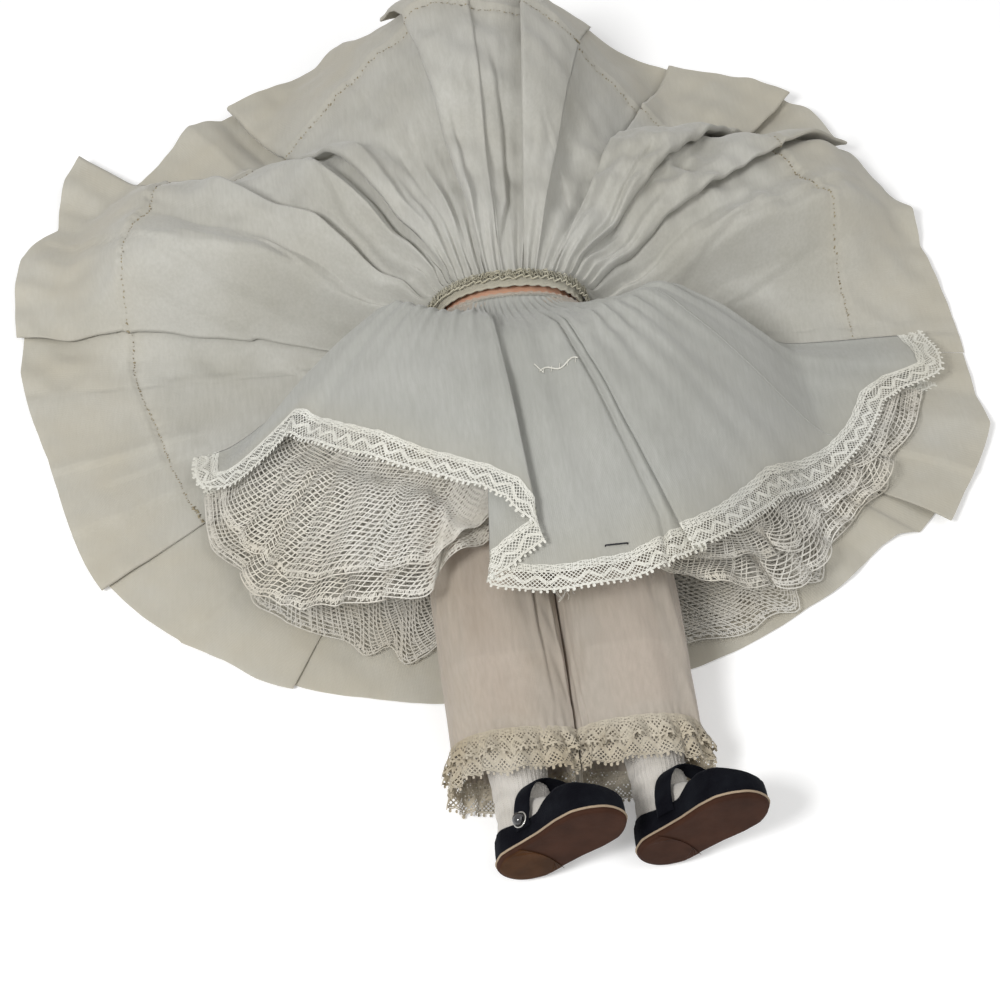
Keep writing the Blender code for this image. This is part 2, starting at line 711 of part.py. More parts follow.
# Low collar round the heel and an open throat over the instep
def build_shoe_upper(name, side):
    origin, ahead, across = foot_axes(side)
    up = Vector((0, 1, 0))
    far = FOOT_LENGTH
    upper = foot_solid(side, SHOE_GROW)
    cut(upper, foot_solid(side, SOCK_GROW + GAP * 2))
    cut(upper, leg_solid(side, SOCK_GROW + GAP * 2, SOCK_TOP_SHARE))
    floor = SOLE_Y + SOLE_THICK + GAP
    high = SOLE_Y + SOLE_THICK + SHOE_COLLAR
    cut(upper, box((-far * 2, high, -far), (far * 2, high + far, far * 2)),
        box((-far * 2, floor - far, -far), (far * 2, floor, far * 2)))
    for share in (0.12, 0.32):
        throat = origin + ahead * (FOOT_LENGTH * share) + up * (SHOE_COLLAR * 0.42)
        cut(upper, rod(throat, throat + up * far, FOOT_HALF * 0.86))
    give(upper, name + "_shoe_upper", ((0.012, 0.012, 0.018), 0.85))
    return put_origin(upper, (0, 0, HIP_HEIGHT))


def build_shoe_sole(name, side):
    origin, ahead, across = foot_axes(side)
    up = Vector((0, 1, 0))
    far = FOOT_LENGTH
    floor = SOLE_Y + SOLE_THICK + GAP
    outline = foot_solid(side, SHOE_GROW)
    keep(outline, box((-far * 2, floor, -far), (far * 2, floor + SHOE_GROW, far * 2)))
    points = flat_outline(outline, origin, ahead, across)
    bpy.data.objects.remove(outline)
    rings = [[origin + ahead * a + across * b + up * level for a, b in points]
             for level in (-SOLE_THICK, -SOLE_THICK * 0.2, 0)]
    sole = add_object("sole", loft(rings))
    give(sole, name + "_shoe_sole", ((0.55, 0.40, 0.28), 0.7), False)
    return put_origin(sole, (0, 0, HIP_HEIGHT))


# The strap crosses the open throat just in front of the ankle
def strap_middle(side):
    origin, ahead, across = foot_axes(side)
    return origin + ahead * (FOOT_LENGTH * STRAP_SHARE)


def build_shoe_strap(name, side):
    origin, ahead, across = foot_axes(side)
    far = FOOT_LENGTH
    strap = foot_solid(side, STRAP_GROW)
    cut(strap, foot_solid(side, SHOE_GROW + GAP))
    cut(strap, leg_solid(side, SOCK_GROW + GAP * 2, SOCK_TOP_SHARE))
    slab = box((-far, -STRAP_WIDTH / 2, -far), (far, STRAP_WIDTH / 2, far))
    frame = Matrix((across, ahead, Vector((0, 1, 0)))).transposed().to_4x4()
    slab.data.transform(Matrix.Translation(strap_middle(side)) @ frame)
    keep(strap, slab)
    low = SOLE_Y + SOLE_THICK + SHOE_COLLAR * 0.45
    cut(strap, box((-far * 2, low - far, -far), (far * 2, low, far * 2)))
    give(strap, name + "_shoe_strap", ((0.012, 0.012, 0.018), 0.85))
    return put_origin(strap, (0, 0, HIP_HEIGHT))


def build_shoe_button(name, side):
    origin, ahead, across = foot_axes(side)
    up = Vector((0, 1, 0))
    seat = strap_middle(side) + up * (SHOE_COLLAR * 0.75)
    outward = across * side
    reach = FOOT_HALF + STRAP_GROW + GAP * 2
    button = rod(seat + outward * reach, seat + outward * (reach + BUTTON_THICK),
                 BUTTON_RADIUS - BUTTON_RING - GAP, SMALL_FACES, (BUTTON_RADIUS - BUTTON_RING) / 2)
    give(button, name + "_shoe_button", ((0.02, 0.02, 0.025), 0.15))
    put_origin(button, (0, 0, HIP_HEIGHT))
    ring = []
    for k in range(RING_FACES):
        angle = math.tau * k / RING_FACES
        ring.append(seat + outward * (reach + BUTTON_RING)
                    + ahead * BUTTON_RADIUS * math.cos(angle)
                    + up * BUTTON_RADIUS * math.sin(angle))
    rim = wire(name + "_button_ring", ring, BUTTON_RING * 0.8,
               ((0.75, 0.74, 0.70), 0.25, 1.0), closed=True, faces=6)
    put_origin(rim, (0, 0, HIP_HEIGHT))
    return button, rim


def build_shoe(name, side):
    build_shoe_upper(name, side)
    build_shoe_sole(name, side)
    build_shoe_strap(name, side)
    build_shoe_button(name, side)


# Outline of a solid seen along Y, as points along and across the foot
def flat_outline(obj, origin, ahead, across):
    flat = []
    for vertex in obj.data.vertices:
        offset = obj.matrix_world @ vertex.co - origin
        flat.append((offset.dot(ahead), offset.dot(across)))
    flat.sort()

    def half_hull(points):
        hull = []
        for p in points:
            while len(hull) > 1 and turn_of(hull[-2], hull[-1], p) <= 0:
                hull.pop()
            hull.append(p)
        return hull[:-1]

    hull = half_hull(flat) + half_hull(flat[::-1])
    return hull


def turn_of(a, b, c):
    return (b[0] - a[0]) * (c[1] - a[1]) - (b[1] - a[1]) * (c[0] - a[0])


# Head with a plain doll's face, and its wig
def head_rings(grow, start_y=None, stretch=1.0):
    shape = (
        # share from chin to crown, half width, depth
        (0.00, 0.40, 0.42), (0.06, 0.62, 0.66), (0.16, 0.82, 0.84), (0.30, 0.95, 0.95),
        (0.45, 1.0, 1.0), (0.62, 1.0, 1.0), (0.78, 0.90, 0.90), (0.90, 0.66, 0.68),
        (0.97, 0.36, 0.38), (1.0, 0.12, 0.12),
    )
    rings = []
    for share, wide, deep in shape:
        y = mix(CHIN_Y, CROWN_Y, share) + grow * (2 * share - 1)
        if start_y is not None and y < start_y:
            continue
        rings.append(oval(y, 0, NECK_HEIGHT, HEAD_HALF * wide + grow, HEAD_DEPTH * deep + grow,
                          TORSO_FACES))
    return rings


def build_head():
    neck = [oval(NECK_Y - NECK_RADIUS * 0.35, 0, NECK_HEIGHT, NECK_RADIUS * 0.72,
                 NECK_RADIUS * 0.72, TORSO_FACES),
            oval(NECK_Y, 0, NECK_HEIGHT, NECK_RADIUS * 0.88, NECK_RADIUS * 0.88, TORSO_FACES),
            oval(CHIN_Y - SHELL_WALL, 0, NECK_HEIGHT, NECK_RADIUS * 0.86, NECK_RADIUS * 0.86,
                 TORSO_FACES)]
    rings = neck + head_rings(0)
    mesh = loft(rings)
    span = CROWN_Y - CHIN_Y
    for vertex in mesh.vertices:
        share = (vertex.co.y - CHIN_Y) / span
        front = (vertex.co.z - NECK_HEIGHT) / HEAD_DEPTH
        if front <= 0.5 or share < 0:
            continue
        nose = math.exp(-((share - 0.38) / 0.09) ** 2 - (vertex.co.x / (HEAD_HALF * 0.2)) ** 2)
        cheek = math.exp(-((share - 0.30) / 0.12) ** 2
                         - ((abs(vertex.co.x) - HEAD_HALF * 0.55) / (HEAD_HALF * 0.3)) ** 2)
        vertex.co.z += NOSE_HEIGHT * (nose + cheek * 0.35)
    head = add_object("head", mesh)
    inner = [oval(NECK_Y - NECK_RADIUS, 0, NECK_HEIGHT, NECK_RADIUS * 0.5, NECK_RADIUS * 0.5,
                  TORSO_FACES),
             oval(CHIN_Y, 0, NECK_HEIGHT, NECK_RADIUS * 0.5, NECK_RADIUS * 0.5, TORSO_FACES)]
    inner += head_rings(-SHELL_WALL)[2:]
    cut(head, add_object("inner", loft(inner)))
    give(head, "head_shell", ((0.88, 0.64, 0.53), 0.4))
    put_origin(head, (0, NECK_Y, NECK_HEIGHT))

    eyes = []
    for name, side in SIDES.items():
        eye_y = mix(CHIN_Y, CROWN_Y, 0.50)
        eye_z = NECK_HEIGHT + HEAD_DEPTH * 0.955
        spot = Vector((side * HEAD_HALF * 0.36, eye_y, eye_z))
        socket = rod(spot - Vector((0, 0, EYE_RADIUS * 1.8)), spot + Vector((0, 0, EYE_RADIUS * 2)),
                     EYE_RADIUS + GAP, SMALL_FACES)
        cut(head, socket)
        work = bmesh.new()
        bmesh.ops.create_uvsphere(work, u_segments=SMALL_FACES, v_segments=8, radius=EYE_RADIUS)
        mesh = bpy.data.meshes.new("eye")
        work.to_mesh(mesh)
        work.free()
        eye = add_object(name + "_eye", mesh, ((0.16, 0.30, 0.45), 0.1))
        eye.location = spot - Vector((0, 0, EYE_RADIUS * 0.35))
        put_origin(eye, (0, NECK_Y, NECK_HEIGHT))
        eyes.append(eye)
    return head, eyes


def build_wig():
    outer = head_rings(WIG_THICK + GAP)
    mesh = loft(outer)
    for vertex in mesh.vertices:
        angle = math.atan2(vertex.co.z - NECK_HEIGHT, vertex.co.x)
        wave = 0.5 + 0.5 * math.cos(angle * 9 + vertex.co.y / HEAD_HALF * 4)
        vertex.co.x -= vertex.co.x / HEAD_HALF * WIG_THICK * 0.45 * wave
        out = (vertex.co.z - NECK_HEIGHT) / HEAD_DEPTH
        vertex.co.z -= out * WIG_THICK * 0.45 * wave
    wig = add_object("wig", mesh)
    inside = add_object("inside", loft(head_rings(GAP)))
    face_y = mix(CHIN_Y, CROWN_Y, 0.76)
    face = rod((0, face_y - HEAD_HALF * 1.3, NECK_HEIGHT + HEAD_DEPTH * 0.25),
               (0, face_y - HEAD_HALF * 1.3, NECK_HEIGHT + HEAD_DEPTH * 2), HEAD_HALF * 1.32)
    below = box((-HEAD_HALF * 2, 0, -HIP_HEIGHT), (HEAD_HALF * 2, mix(CHIN_Y, CROWN_Y, 0.12),
                                                  HIP_HEIGHT * 4))
    cut(wig, inside, face, below)
    floor = box((-HEAD_HALF * 2, 0, -HIP_HEIGHT), (HEAD_HALF * 2, CROWN_Y * 2, 0))
    cut(wig, floor)
    give(wig, "wig", ((0.23, 0.12, 0.06), 0.6))
    return put_origin(wig, (0, NECK_Y, NECK_HEIGHT))


# Hooks and elastics
def build_strings():
    made = {}
    elastic = ((0.80, 0.77, 0.70), 0.8)
    metal = ((0.62, 0.61, 0.58), 0.35, 1.0)
    rise = ELASTIC_RADIUS + HOOK_RADIUS + GAP
    ends = {"hip": (0, HIP_HEIGHT, LEG_INNER_X), "arm": (SHOULDER_Y, SHOULDER_HEIGHT, ARM_INNER_X)}
    for name, (y, z, half) in ends.items():
        reach = half - HOOK_REACH
        path = []
        for k in range(16):
            angle = math.tau * (k + 0.5) / 16
            x = math.copysign(reach - rise, math.cos(angle)) + rise * math.cos(angle)
            path.append((x, y + rise * math.sin(angle), z))
        label = name + "_elastic"
        made[label] = wire(label, path, ELASTIC_RADIUS, elastic, closed=True)
        for side_name, side in SIDES.items():
            bend = GAP
            points = ((half - GAP / 2, 0), (reach + rise, 0), (reach + rise - bend, rise),
                      (reach - rise + bend, rise), (reach - rise, rise - bend),
                      (reach - rise, -rise * 0.6))
            path = [(side * x, y, z + up) for x, up in points]
            limb = "leg" if name == "hip" else "arm"
            label = f"{side_name}_{limb}_hook"
            made[label] = wire(label, path, HOOK_RADIUS, metal, faces=6)
            put_origin(made[label], (0, y, z))
    return made


# Bodice, sleeves, waist edge and snaps
def build_bodice():
    outer = torso_solid(BODICE_GROW, WAIST_Y - WAISTBAND_WIDTH / 2, BODICE_NECK_Y)
    inner = torso_solid(BODICE_GROW - CLOTH, WAIST_Y - WAISTBAND_WIDTH * 2,
                        BODICE_NECK_Y + WAISTBAND_WIDTH)
    cut(outer, inner)
    far = CHEST_HALF * 2
    hole = ARM_DISC_RADIUS + GAP * 4
    cut(outer, rod((-far, SHOULDER_Y, SHOULDER_HEIGHT), (far, SHOULDER_Y, SHOULDER_HEIGHT), hole))
    slit = CLOTH * 0.6
    cut(outer, box((-slit, WAIST_Y - WAISTBAND_WIDTH * 2, -HIP_HEIGHT),
                   (slit, NECK_Y * 2, TORSO_MID_HEIGHT)))
    floor = box((-far, -WAIST_Y, -HIP_HEIGHT), (far, NECK_Y * 2, 0))
    cut(outer, floor)
    return give(outer, "dress_bodice", ((0.90, 0.88, 0.80), 0.9))


def build_waistband():
    rows = []
    half, depth, mid = torso_size(WAIST_Y)
    for k in range(3):
        share = k / 2
        y = WAIST_Y + WAISTBAND_WIDTH * (share - 0.5)
        out = EDGE_RING_OUT + GAP * 2 * share
        rows.append(oval(y, 0, mid, half + out, depth + out, WAIST_AROUND,
                         BODY_FULLNESS))
    return add_object("waist_edge", tube_sheet(rows, CLOTH), ((0.88, 0.85, 0.74), 0.9))


def build_sleeve(name, side):
    rows = []
    steps = 6
    total = ARM_UPPER_LENGTH + ARM_FORE_LENGTH
    close = CLOTH / 2 + GAP * 2
    for k in range(steps):
        share = k / (steps - 1)
        way = mix(GAP, SLEEVE_LENGTH / total, share)
        puff = SLEEVE_PUFF * math.sin(math.pi * share) ** 0.8
        radius = ARM_UPPER_RADIUS * from_table(ARM_WIDTH_SHARES, way) + close
        radius = mix(ARM_DISC_RADIUS + close, radius, smooth(share * 3)) + puff
        row = []
        for j, point in enumerate(arm_ring(way, side, radius, radius)):
            ruffle = 1 + 0.05 * math.cos(math.tau * j / 2) * math.sin(math.pi * share)
            centre = arm_centre(way, side)
            spot = centre + (point - centre) * ruffle
            limit = ARM_INNER_X + GAP * 2 + CLOTH
            row.append(Vector((side * max(side * spot.x, limit), spot.y, spot.z)))
        rows.append(row)
    sleeve = add_object(name + "_sleeve", tube_sheet(rows, CLOTH), ((0.90, 0.88, 0.80), 0.9))
    return put_origin(sleeve, (0, SHOULDER_Y, SHOULDER_HEIGHT))


def build_snaps():
    rows = []
    tape = SNAP_RADIUS * 1.25
    centre = SNAP_RADIUS * 1.6
    first_y, last_y = WAIST_Y + SNAP_PITCH * 0.35, WAIST_Y + SNAP_PITCH * (SNAP_COUNT + 0.1)
    for k in range(6):
        y = mix(first_y, last_y, k / 5)
        half, depth, mid = torso_size(y)
        face = mid - depth - BODICE_GROW - GAP
        rows.append([Vector((centre - tape, y, face)), Vector((centre + tape, y, face)),
                     Vector((centre + tape, y, face - CLOTH)),
                     Vector((centre - tape, y, face - CLOTH))])
    placket = add_object("placket", loft(rows))
    snaps = []
    for k in range(SNAP_COUNT):
        y = WAIST_Y + SNAP_PITCH * (k + 0.75)
        half, depth, mid = torso_size(y)
        face = mid - depth - BODICE_GROW - GAP - CLOTH / 2
        snaps.append(rod((centre, y, face), (centre, y, face - SNAP_THICK), SNAP_RADIUS,
                         SMALL_FACES))
    join(placket, *snaps)
    return give(placket, "back_placket", ((0.60, 0.59, 0.54), 0.5), False)


# Height of the highest solid over each point of the floor, then cloth laid on it:
# it falls away no steeper than CLOTH_SLOPE
class Drape:
    def __init__(self, objects, turned=(), spread=0, soften=5, low_y=-1, high_y=1):
        self.count = int(round(2 * FIELD_HALF / FIELD_CELL)) + 1
        self.line = np.linspace(-FIELD_HALF, FIELD_HALF, self.count)
        field = np.zeros((self.count, self.count))
        for tree in self.trees(objects, turned):
            for i, x in enumerate(self.line):
                for j, y in enumerate(self.line):
                    if y < low_y or y > high_y:
                        continue
                    hit = tree.ray_cast(Vector((x, y, 1)), Vector((0, 0, -1)))
                    if hit[0] is not None:
                        field[i, j] = max(field[i, j], hit[0].z + DRAPE_CLEAR)
        for _ in range(int(round(spread / FIELD_CELL))):
            field = np.max([np.roll(np.roll(field, dx, axis=0), dy, axis=1)
                            for dx in (-1, 0, 1) for dy in (-1, 0, 1)], axis=0)
        self.field = self.fall(field, soften)

    def trees(self, objects, turned):
        points, faces = [], []
        for obj, matrix in [(o, Matrix()) for o in objects] + list(turned):
            base = len(points)
            points += [matrix @ obj.matrix_world @ v.co for v in obj.data.vertices]
            faces += [[base + i for i in face.vertices] for face in obj.data.polygons]
        return [BVHTree.FromPolygons(points, faces)]

    def fall(self, field, soften):
        step = FIELD_CELL * CLOTH_SLOPE
        for _ in range(int(HEAD_DEPTH * 3 / step)):
            grown = field.copy()
            for dx, dy in ((1, 0), (-1, 0), (0, 1), (0, -1), (1, 1), (1, -1), (-1, 1), (-1, -1)):
                drop = step * math.hypot(dx, dy)
                moved_field = np.roll(np.roll(field, dx, axis=0), dy, axis=1) - drop
                grown = np.maximum(grown, moved_field)
            field = grown
        for _ in range(2):
            ring = sum(np.roll(np.roll(field, dx, axis=0), dy, axis=1)
                       for dx in (-1, 0, 1) for dy in (-1, 0, 1))
            field = np.maximum(ring / 9, field)
        for _ in range(soften):
            field = sum(np.roll(np.roll(field, dx, axis=0), dy, axis=1)
                        for dx in (-1, 0, 1) for dy in (-1, 0, 1)) / 9
        return np.maximum(field, 0)

    def room(self, x, y):
        return 1 + RAISED_SPREAD * smooth(self.at(x, y) / HIP_HEIGHT)

    def at(self, x, y):
        u = min(max((x + FIELD_HALF) / FIELD_CELL, 0), self.count - 1.001)
        v = min(max((y + FIELD_HALF) / FIELD_CELL, 0), self.count - 1.001)
        i, j = int(u), int(v)
        a, b = u - i, v - j
        f = self.field
        return float((f[i, j] * (1 - a) + f[i + 1, j] * a) * (1 - b)
                     + (f[i, j + 1] * (1 - a) + f[i + 1, j + 1] * a) * b)

    def normal(self, x, y):
        e = FIELD_CELL
        slope_x = (self.at(x + e, y) - self.at(x - e, y)) / (2 * e)
        slope_y = (self.at(x, y + e) - self.at(x, y - e)) / (2 * e)
        return Vector((-slope_x, -slope_y, 1)).normalized()


def arm_turned(side_objects, degrees):
    pivot = Matrix.Translation(Vector((0, SHOULDER_Y, SHOULDER_HEIGHT)))
    turn = Matrix.Rotation(math.radians(degrees), 4, "X")
    return [(obj, pivot @ turn @ pivot.inverted()) for obj in side_objects]


def ring_point(angle, out, y):
    half, depth, mid = torso_size(y)
    share = 2 / BODY_FULLNESS
    return Vector(((half + out) * power(math.cos(angle), share), y,
                   mid + (depth + out) * power(math.sin(angle), share)))


# The skirt runs clockwise round the waist, one column of points for each row of the table
def build_skirt(over):
    rows = []
    for r in range(SKIRT_ALONG + 1):
        share = r / SKIRT_ALONG
        row = []
        for plan, reach, crest in SKIRT_FOLD_SHARES[::-1]:
            angle = math.radians(plan)
            hem = SKIRT_RADIUS * reach
            start = ring_point(angle, SKIRT_RING_OUT, WAIST_Y)
            x = mix(start.x, hem * math.cos(angle), share)
            y = WAIST_Y + hem * math.sin(angle) * share
            over_body = math.sin(angle) > 0
            fold = SKIRT_PLEAT_HEIGHT * crest
            lifted = 0
            if over_body:
                lifted = smooth(min(plan, 180 - plan) / SKIRT_RISE_TURN)
                fold *= smooth(share * 3) * max(lifted, SKIRT_FLOOR_PLEAT * share)
            else:
                fold *= SKIRT_FLOOR_PLEAT * smooth((share - SKIRT_FLAT_SHARE)
                                                   / (1 - SKIRT_FLAT_SHARE))
            level = over.at(x, y) * lifted + SKIRT_LEVEL
            step = HEM_STEP if share > HEM_SHARE and lifted > 0.5 else 0
            z = mix(start.z, level, smooth(share * SKIRT_ALONG)) + fold + step
            row.append(Vector((x, y, max(z, SKIRT_LEVEL))))
        rows.append(row)
    mesh = tube_sheet(rows, SKIRT_CLOTH)
    for vertex in mesh.vertices:
        if vertex.co.z < SKIRT_LEVEL:
            vertex.co.z = 0
        elif vertex.co.z < SKIRT_LEVEL * 2.2:
            vertex.co.z = SKIRT_CLOTH
    return add_object("dress_skirt", mesh, ((0.88, 0.86, 0.78), 0.9))


# Columns of a flattened cloth tube: how far across, plan angle, share of the radius, fold
# height, and whether the column lies on top. The front comes first, then the back under it
def folded_columns(table):
    last = len(table) - 1
    columns = [(k / last, plan, reach, PETTI_PLEAT_HEIGHT * crest, True)
               for k, (plan, reach, crest) in enumerate(table)]
    for across in PETTI_BACK_SHARES:
        plan = mix(table[0][0], table[last][0], across)
        columns.append((across, plan, from_table(PETTI_SHARES, plan), 0, False))
    return columns


def ruffled_columns(turn_in):
    columns = []
    for k in range(TUBE_AROUND):
        way = k / TUBE_AROUND
        across = way * 2 if way < 0.5 else 2 - way * 2
        # Points crowd towards the side folds so that the folds are round
        eased = across - 0.35 * math.sin(math.tau * across) / math.tau
        near_fold = max(0, 1 - min(across, 1 - across) * TUBE_AROUND / 5)
        plan = mix(PETTI_RIGHT, PETTI_LEFT, eased)
        plan += math.copysign(turn_in * near_fold, across - 0.5)
        wave = NET_RUFFLE_HEIGHT * (0.5 - 0.5 * math.cos(math.tau * across * NET_RUFFLES))
        columns.append((across, plan, from_table(NET_SHARES, plan), wave, way < 0.5))
    return columns


# Past the petticoat's hem the ruffles of a net stand up
def free_ruffle(length, plan, across):
    hidden = PETTI_RADIUS * from_table(PETTI_SHARES, plan) + LACE_WIDTH
    inward = min(across, 1 - across)
    return smooth((length - hidden) / NET_FREE) * smooth(inward * RUFFLE_CALM)


# The front fan lies over the legs, the back fan under them
def fan_point(front, column, share, radius, levels, ruffled):
    across, plan, reach, fold, on_front = column
    rise, sink = levels
    angle = math.radians(plan)
    hem = radius * reach
    turn = across / 2 if on_front else 1 - across / 2
    ring = ring_point(math.tau * turn, PETTI_RING_OUT, PETTI_RING_Y)
    x = mix(ring.x, hem * math.cos(angle), share)
    y = mix(ring.y, WAIST_Y + hem * math.sin(angle), share)
    # The two side folds lie halfway between the front and the back
    edge = 1 if 0 < across < 1 else 0
    fold *= edge * (free_ruffle(hem * share, plan, across) if ruffled else smooth(share * 1.4))
    lift = (rise * front.room(x, y) + fold) / front.normal(x, y).z
    upper = max(front.at(x, y), FRONT_BASE_LEVEL) + lift
    middle = mix(upper, sink, 0.5)
    return ring, Vector((x, y, mix(middle, upper if on_front else sink, edge)))


def petticoat_rows(front, low, high, along):
    rows = []
    for r in range(along + 1):
        share = mix(low, high, r / along)
        row = []
        for column in folded_columns(PETTI_FOLD_SHARES):
            ring, point = fan_point(front, column, share, PETTI_RADIUS,
                                    (PETTI_FRONT_RISE, PETTI_BACK_LEVEL), False)
            row.append(ring.lerp(point, smooth(share * TUBE_ALONG / 2.5)))
        rows.append(row)
    return rows


def net_rows(front, levels, turn_in, high):
    rows = []
    for r in range(NET_ALONG + 1):
        share = min(mix(NET_START_SHARE, 1, r / NET_ALONG), high)
        rows.append([fan_point(front, column, share, NET_RADIUS, levels, True)[1]
                     for column in ruffled_columns(turn_in)])
    return rows


def build_underskirts(front):
    cool = ((0.90, 0.90, 0.88), 0.9)
    lace = ((0.93, 0.91, 0.85), 0.9)
    net = ((0.86, 0.84, 0.78), 0.8)
    hem = 1 + GAP * 2.5 / PETTI_RADIUS
    edge = 1 + LACE_WIDTH / PETTI_RADIUS
    upper = net_rows(front, (UPPER_FRONT_RISE, UPPER_BACK_LEVEL), NET_EDGE_TURN,
                     NET_UPPER_SHARE)
    lower = net_rows(front, (LOWER_FRONT_RISE, LOWER_BACK_LEVEL), NET_EDGE_TURN * 2, 1)
    for name, rows, thickness, look in (
            ("petticoat", petticoat_rows(front, 0, 1, TUBE_ALONG), CLOTH, cool),
            ("petticoat_lace", petticoat_rows(front, hem, edge, 1), NET, lace),
            ("net_upper", upper, NET, net),
            ("net_lower", lower, NET, net)):
        add_object(name, tube_sheet(rows, thickness), look)


# Pantalettes: one piece round the hips and a leg on each side, ending in lace cuffs
def build_pants_top():
    rows = []
    for y in (PANTS_TOP_Y, mix(PANTS_TOP_Y, SIT_CLEAR_Y, 0.5), SIT_CLEAR_Y, LEG_DISC_RADIUS / 2,
              0, PANTS_SPLIT_Y / 2, PANTS_SPLIT_Y + GAP):
        half, depth, mid = torso_size(max(y, SIT_CLEAR_Y))
        wide = smooth((PANTS_TOP_Y - y) / (PANTS_TOP_Y - SIT_CLEAR_Y))
        half_x = mix(half + PANTS_GROW, LEG_X + PANTS_HALF - GAP, wide)
        depth = mix(depth + PANTS_GROW, LEG_DISC_RADIUS + PANTS_GROW * 0.75, wide)
        mid = mix(mid, HIP_HEIGHT + GAP, wide)
        row = []
        for j, p in enumerate(oval(y, 0, mid, half_x, depth, WAIST_AROUND, mix(BODY_FULLNESS, 4.6, wide))):
            angle = math.tau * j / WAIST_AROUND
            gather = 1 + 0.012 * math.cos(angle * 9) * wide
            row.append(Vector((p.x * gather, p.y, mid + (p.z - mid) * gather)))
        rows.append(row)
    return add_object("pantalette_top", tube_sheet(rows, CLOTH), ((0.88, 0.83, 0.79), 0.9))


def pants_ring(share, side, grow=0.0, count=PANTS_AROUND, ruffles=PANTS_FOLDS,
               ripple=PANTS_FOLD_HEIGHT):
    y = mix(PANTS_SPLIT_Y, PANTS_HEM_Y, share)
    way = min(max(y / ANKLE_Y, 0), 1)
    x, _, z = leg_centre(way, side)
    half, depth = leg_size(way)
    wide = mix(PANTS_HALF, PANTS_HALF * 0.96, share) + grow
    wide = max(wide, half + PANTS_GROW)
    deep = depth + PANTS_GROW * 1.3 + grow + CALF_DEPTH * 0.12 * share
    centre = side * (LEG_X - GAP) + (x - side * LEG_X) * 0.15
    ring = []
    for k in range(count):
        angle = math.tau * k / count
        fold = 1 + ripple / PANTS_HALF * math.cos(angle * ruffles + share * 2) * smooth(share * 2)
        px = centre + wide * power(math.cos(angle), 0.9) * fold
        pz = z + deep * power(math.sin(angle), 0.9) * fold
        low = CLOTH / 2 + (LOWER_BACK_LEVEL + GAP * 2 if y > -0.11 else 0)
        ring.append(Vector((side * max(side * px, CLOTH * 0.5 + GAP), y, max(pz, low))))
    return ring


def build_pants_leg(name, side):
    rows = []
    for k in range(PANTS_ALONG + 1):
        rows.append(pants_ring(k / PANTS_ALONG, side))
    leg = add_object(name + "_pantalette_leg", tube_sheet(rows, CLOTH),
                     ((0.88, 0.81, 0.77), 0.9))
    put_origin(leg, (0, 0, HIP_HEIGHT))

    rows = []
    length = CUFF_LENGTH / (PANTS_SPLIT_Y - PANTS_HEM_Y)
    for k in range(3):
        share = k / 2
        base = pants_ring(1 + GAP / (PANTS_SPLIT_Y - PANTS_HEM_Y) + length * share, side,
                          CUFF_FLARE * share - CLOTH * 0.5, CUFF_AROUND, CUFF_RUFFLES,
                          CUFF_RUFFLE_HEIGHT * share)
        rows.append(base)
    cuff = add_object(name + "_cuff_lace", tube_sheet(rows, NET), ((0.90, 0.85, 0.72), 0.9))
    put_origin(cuff, (0, 0, HIP_HEIGHT))
    return [leg, cuff]


def remove_all():
    for obj in list(bpy.data.objects):
        bpy.data.objects.remove(obj)


def build():
    remove_all()
    torso = build_torso()
    head, eyes = build_head()
    wig = build_wig()
    bodice = build_bodice()
    build_waistband()
    build_snaps()
    build_strings()
    arms, legs = [], []
    for name, side in SIDES.items():
        arms += [build_arm(name, side), build_sleeve(name, side)]
        legs += [build_leg(name, side)]
        build_sock(name, side)
        build_shoe(name, side)
        legs += build_pants_leg(name, side)
    top = build_pants_top()
    bpy.context.view_layer.update()
    body = [torso["torso_front"], head, wig, bodice] + eyes
    build_skirt(Drape(body + arms, arm_turned(arms, 180), BODY_SPREAD,
                      SOFT_BODY, low_y=WAIST_Y))
    build_underskirts(Drape(legs + [top], (), LEG_SPREAD, SOFT_LEGS,
                            high_y=PANTS_TOP_Y))


build()
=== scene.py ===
# Looks of the dressed doll: its cloth, lace, nets, shoes and light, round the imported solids.
# Everything is in metres in the frame's own axes: head to +Y, feet to -Y, the doll's left to +X.
import math

import bpy
import numpy as np
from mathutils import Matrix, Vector
from mathutils.bvhtree import BVHTree


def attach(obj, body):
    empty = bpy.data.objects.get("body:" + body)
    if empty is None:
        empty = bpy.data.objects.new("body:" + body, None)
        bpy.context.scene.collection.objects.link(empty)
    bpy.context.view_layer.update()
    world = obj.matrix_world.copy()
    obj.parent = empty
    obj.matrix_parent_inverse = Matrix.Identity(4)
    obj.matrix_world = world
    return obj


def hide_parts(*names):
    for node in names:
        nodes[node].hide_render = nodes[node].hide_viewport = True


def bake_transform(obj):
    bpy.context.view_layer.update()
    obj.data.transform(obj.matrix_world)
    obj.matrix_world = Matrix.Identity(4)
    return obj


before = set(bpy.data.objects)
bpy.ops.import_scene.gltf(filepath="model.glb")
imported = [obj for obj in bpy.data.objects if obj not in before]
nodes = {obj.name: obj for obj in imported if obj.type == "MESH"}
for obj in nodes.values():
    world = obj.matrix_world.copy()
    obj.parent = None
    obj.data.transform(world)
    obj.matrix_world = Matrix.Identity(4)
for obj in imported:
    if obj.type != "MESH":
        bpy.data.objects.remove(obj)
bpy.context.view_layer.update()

TAU = math.tau
MM = 0.001
WAIST_Y, WAIST_MID = 0.045, 0.0255      # plane of the waist, height of its middle
WAIST_HALF, WAIST_DEPTH = 0.0260, 0.0178
HIP_Z = 0.026                           # height of the legs' axes
SIDES = (("left", 1), ("right", -1))
NEIGHBOURS = [(a, b) for a in (-1, 0, 1) for b in (-1, 0, 1)]


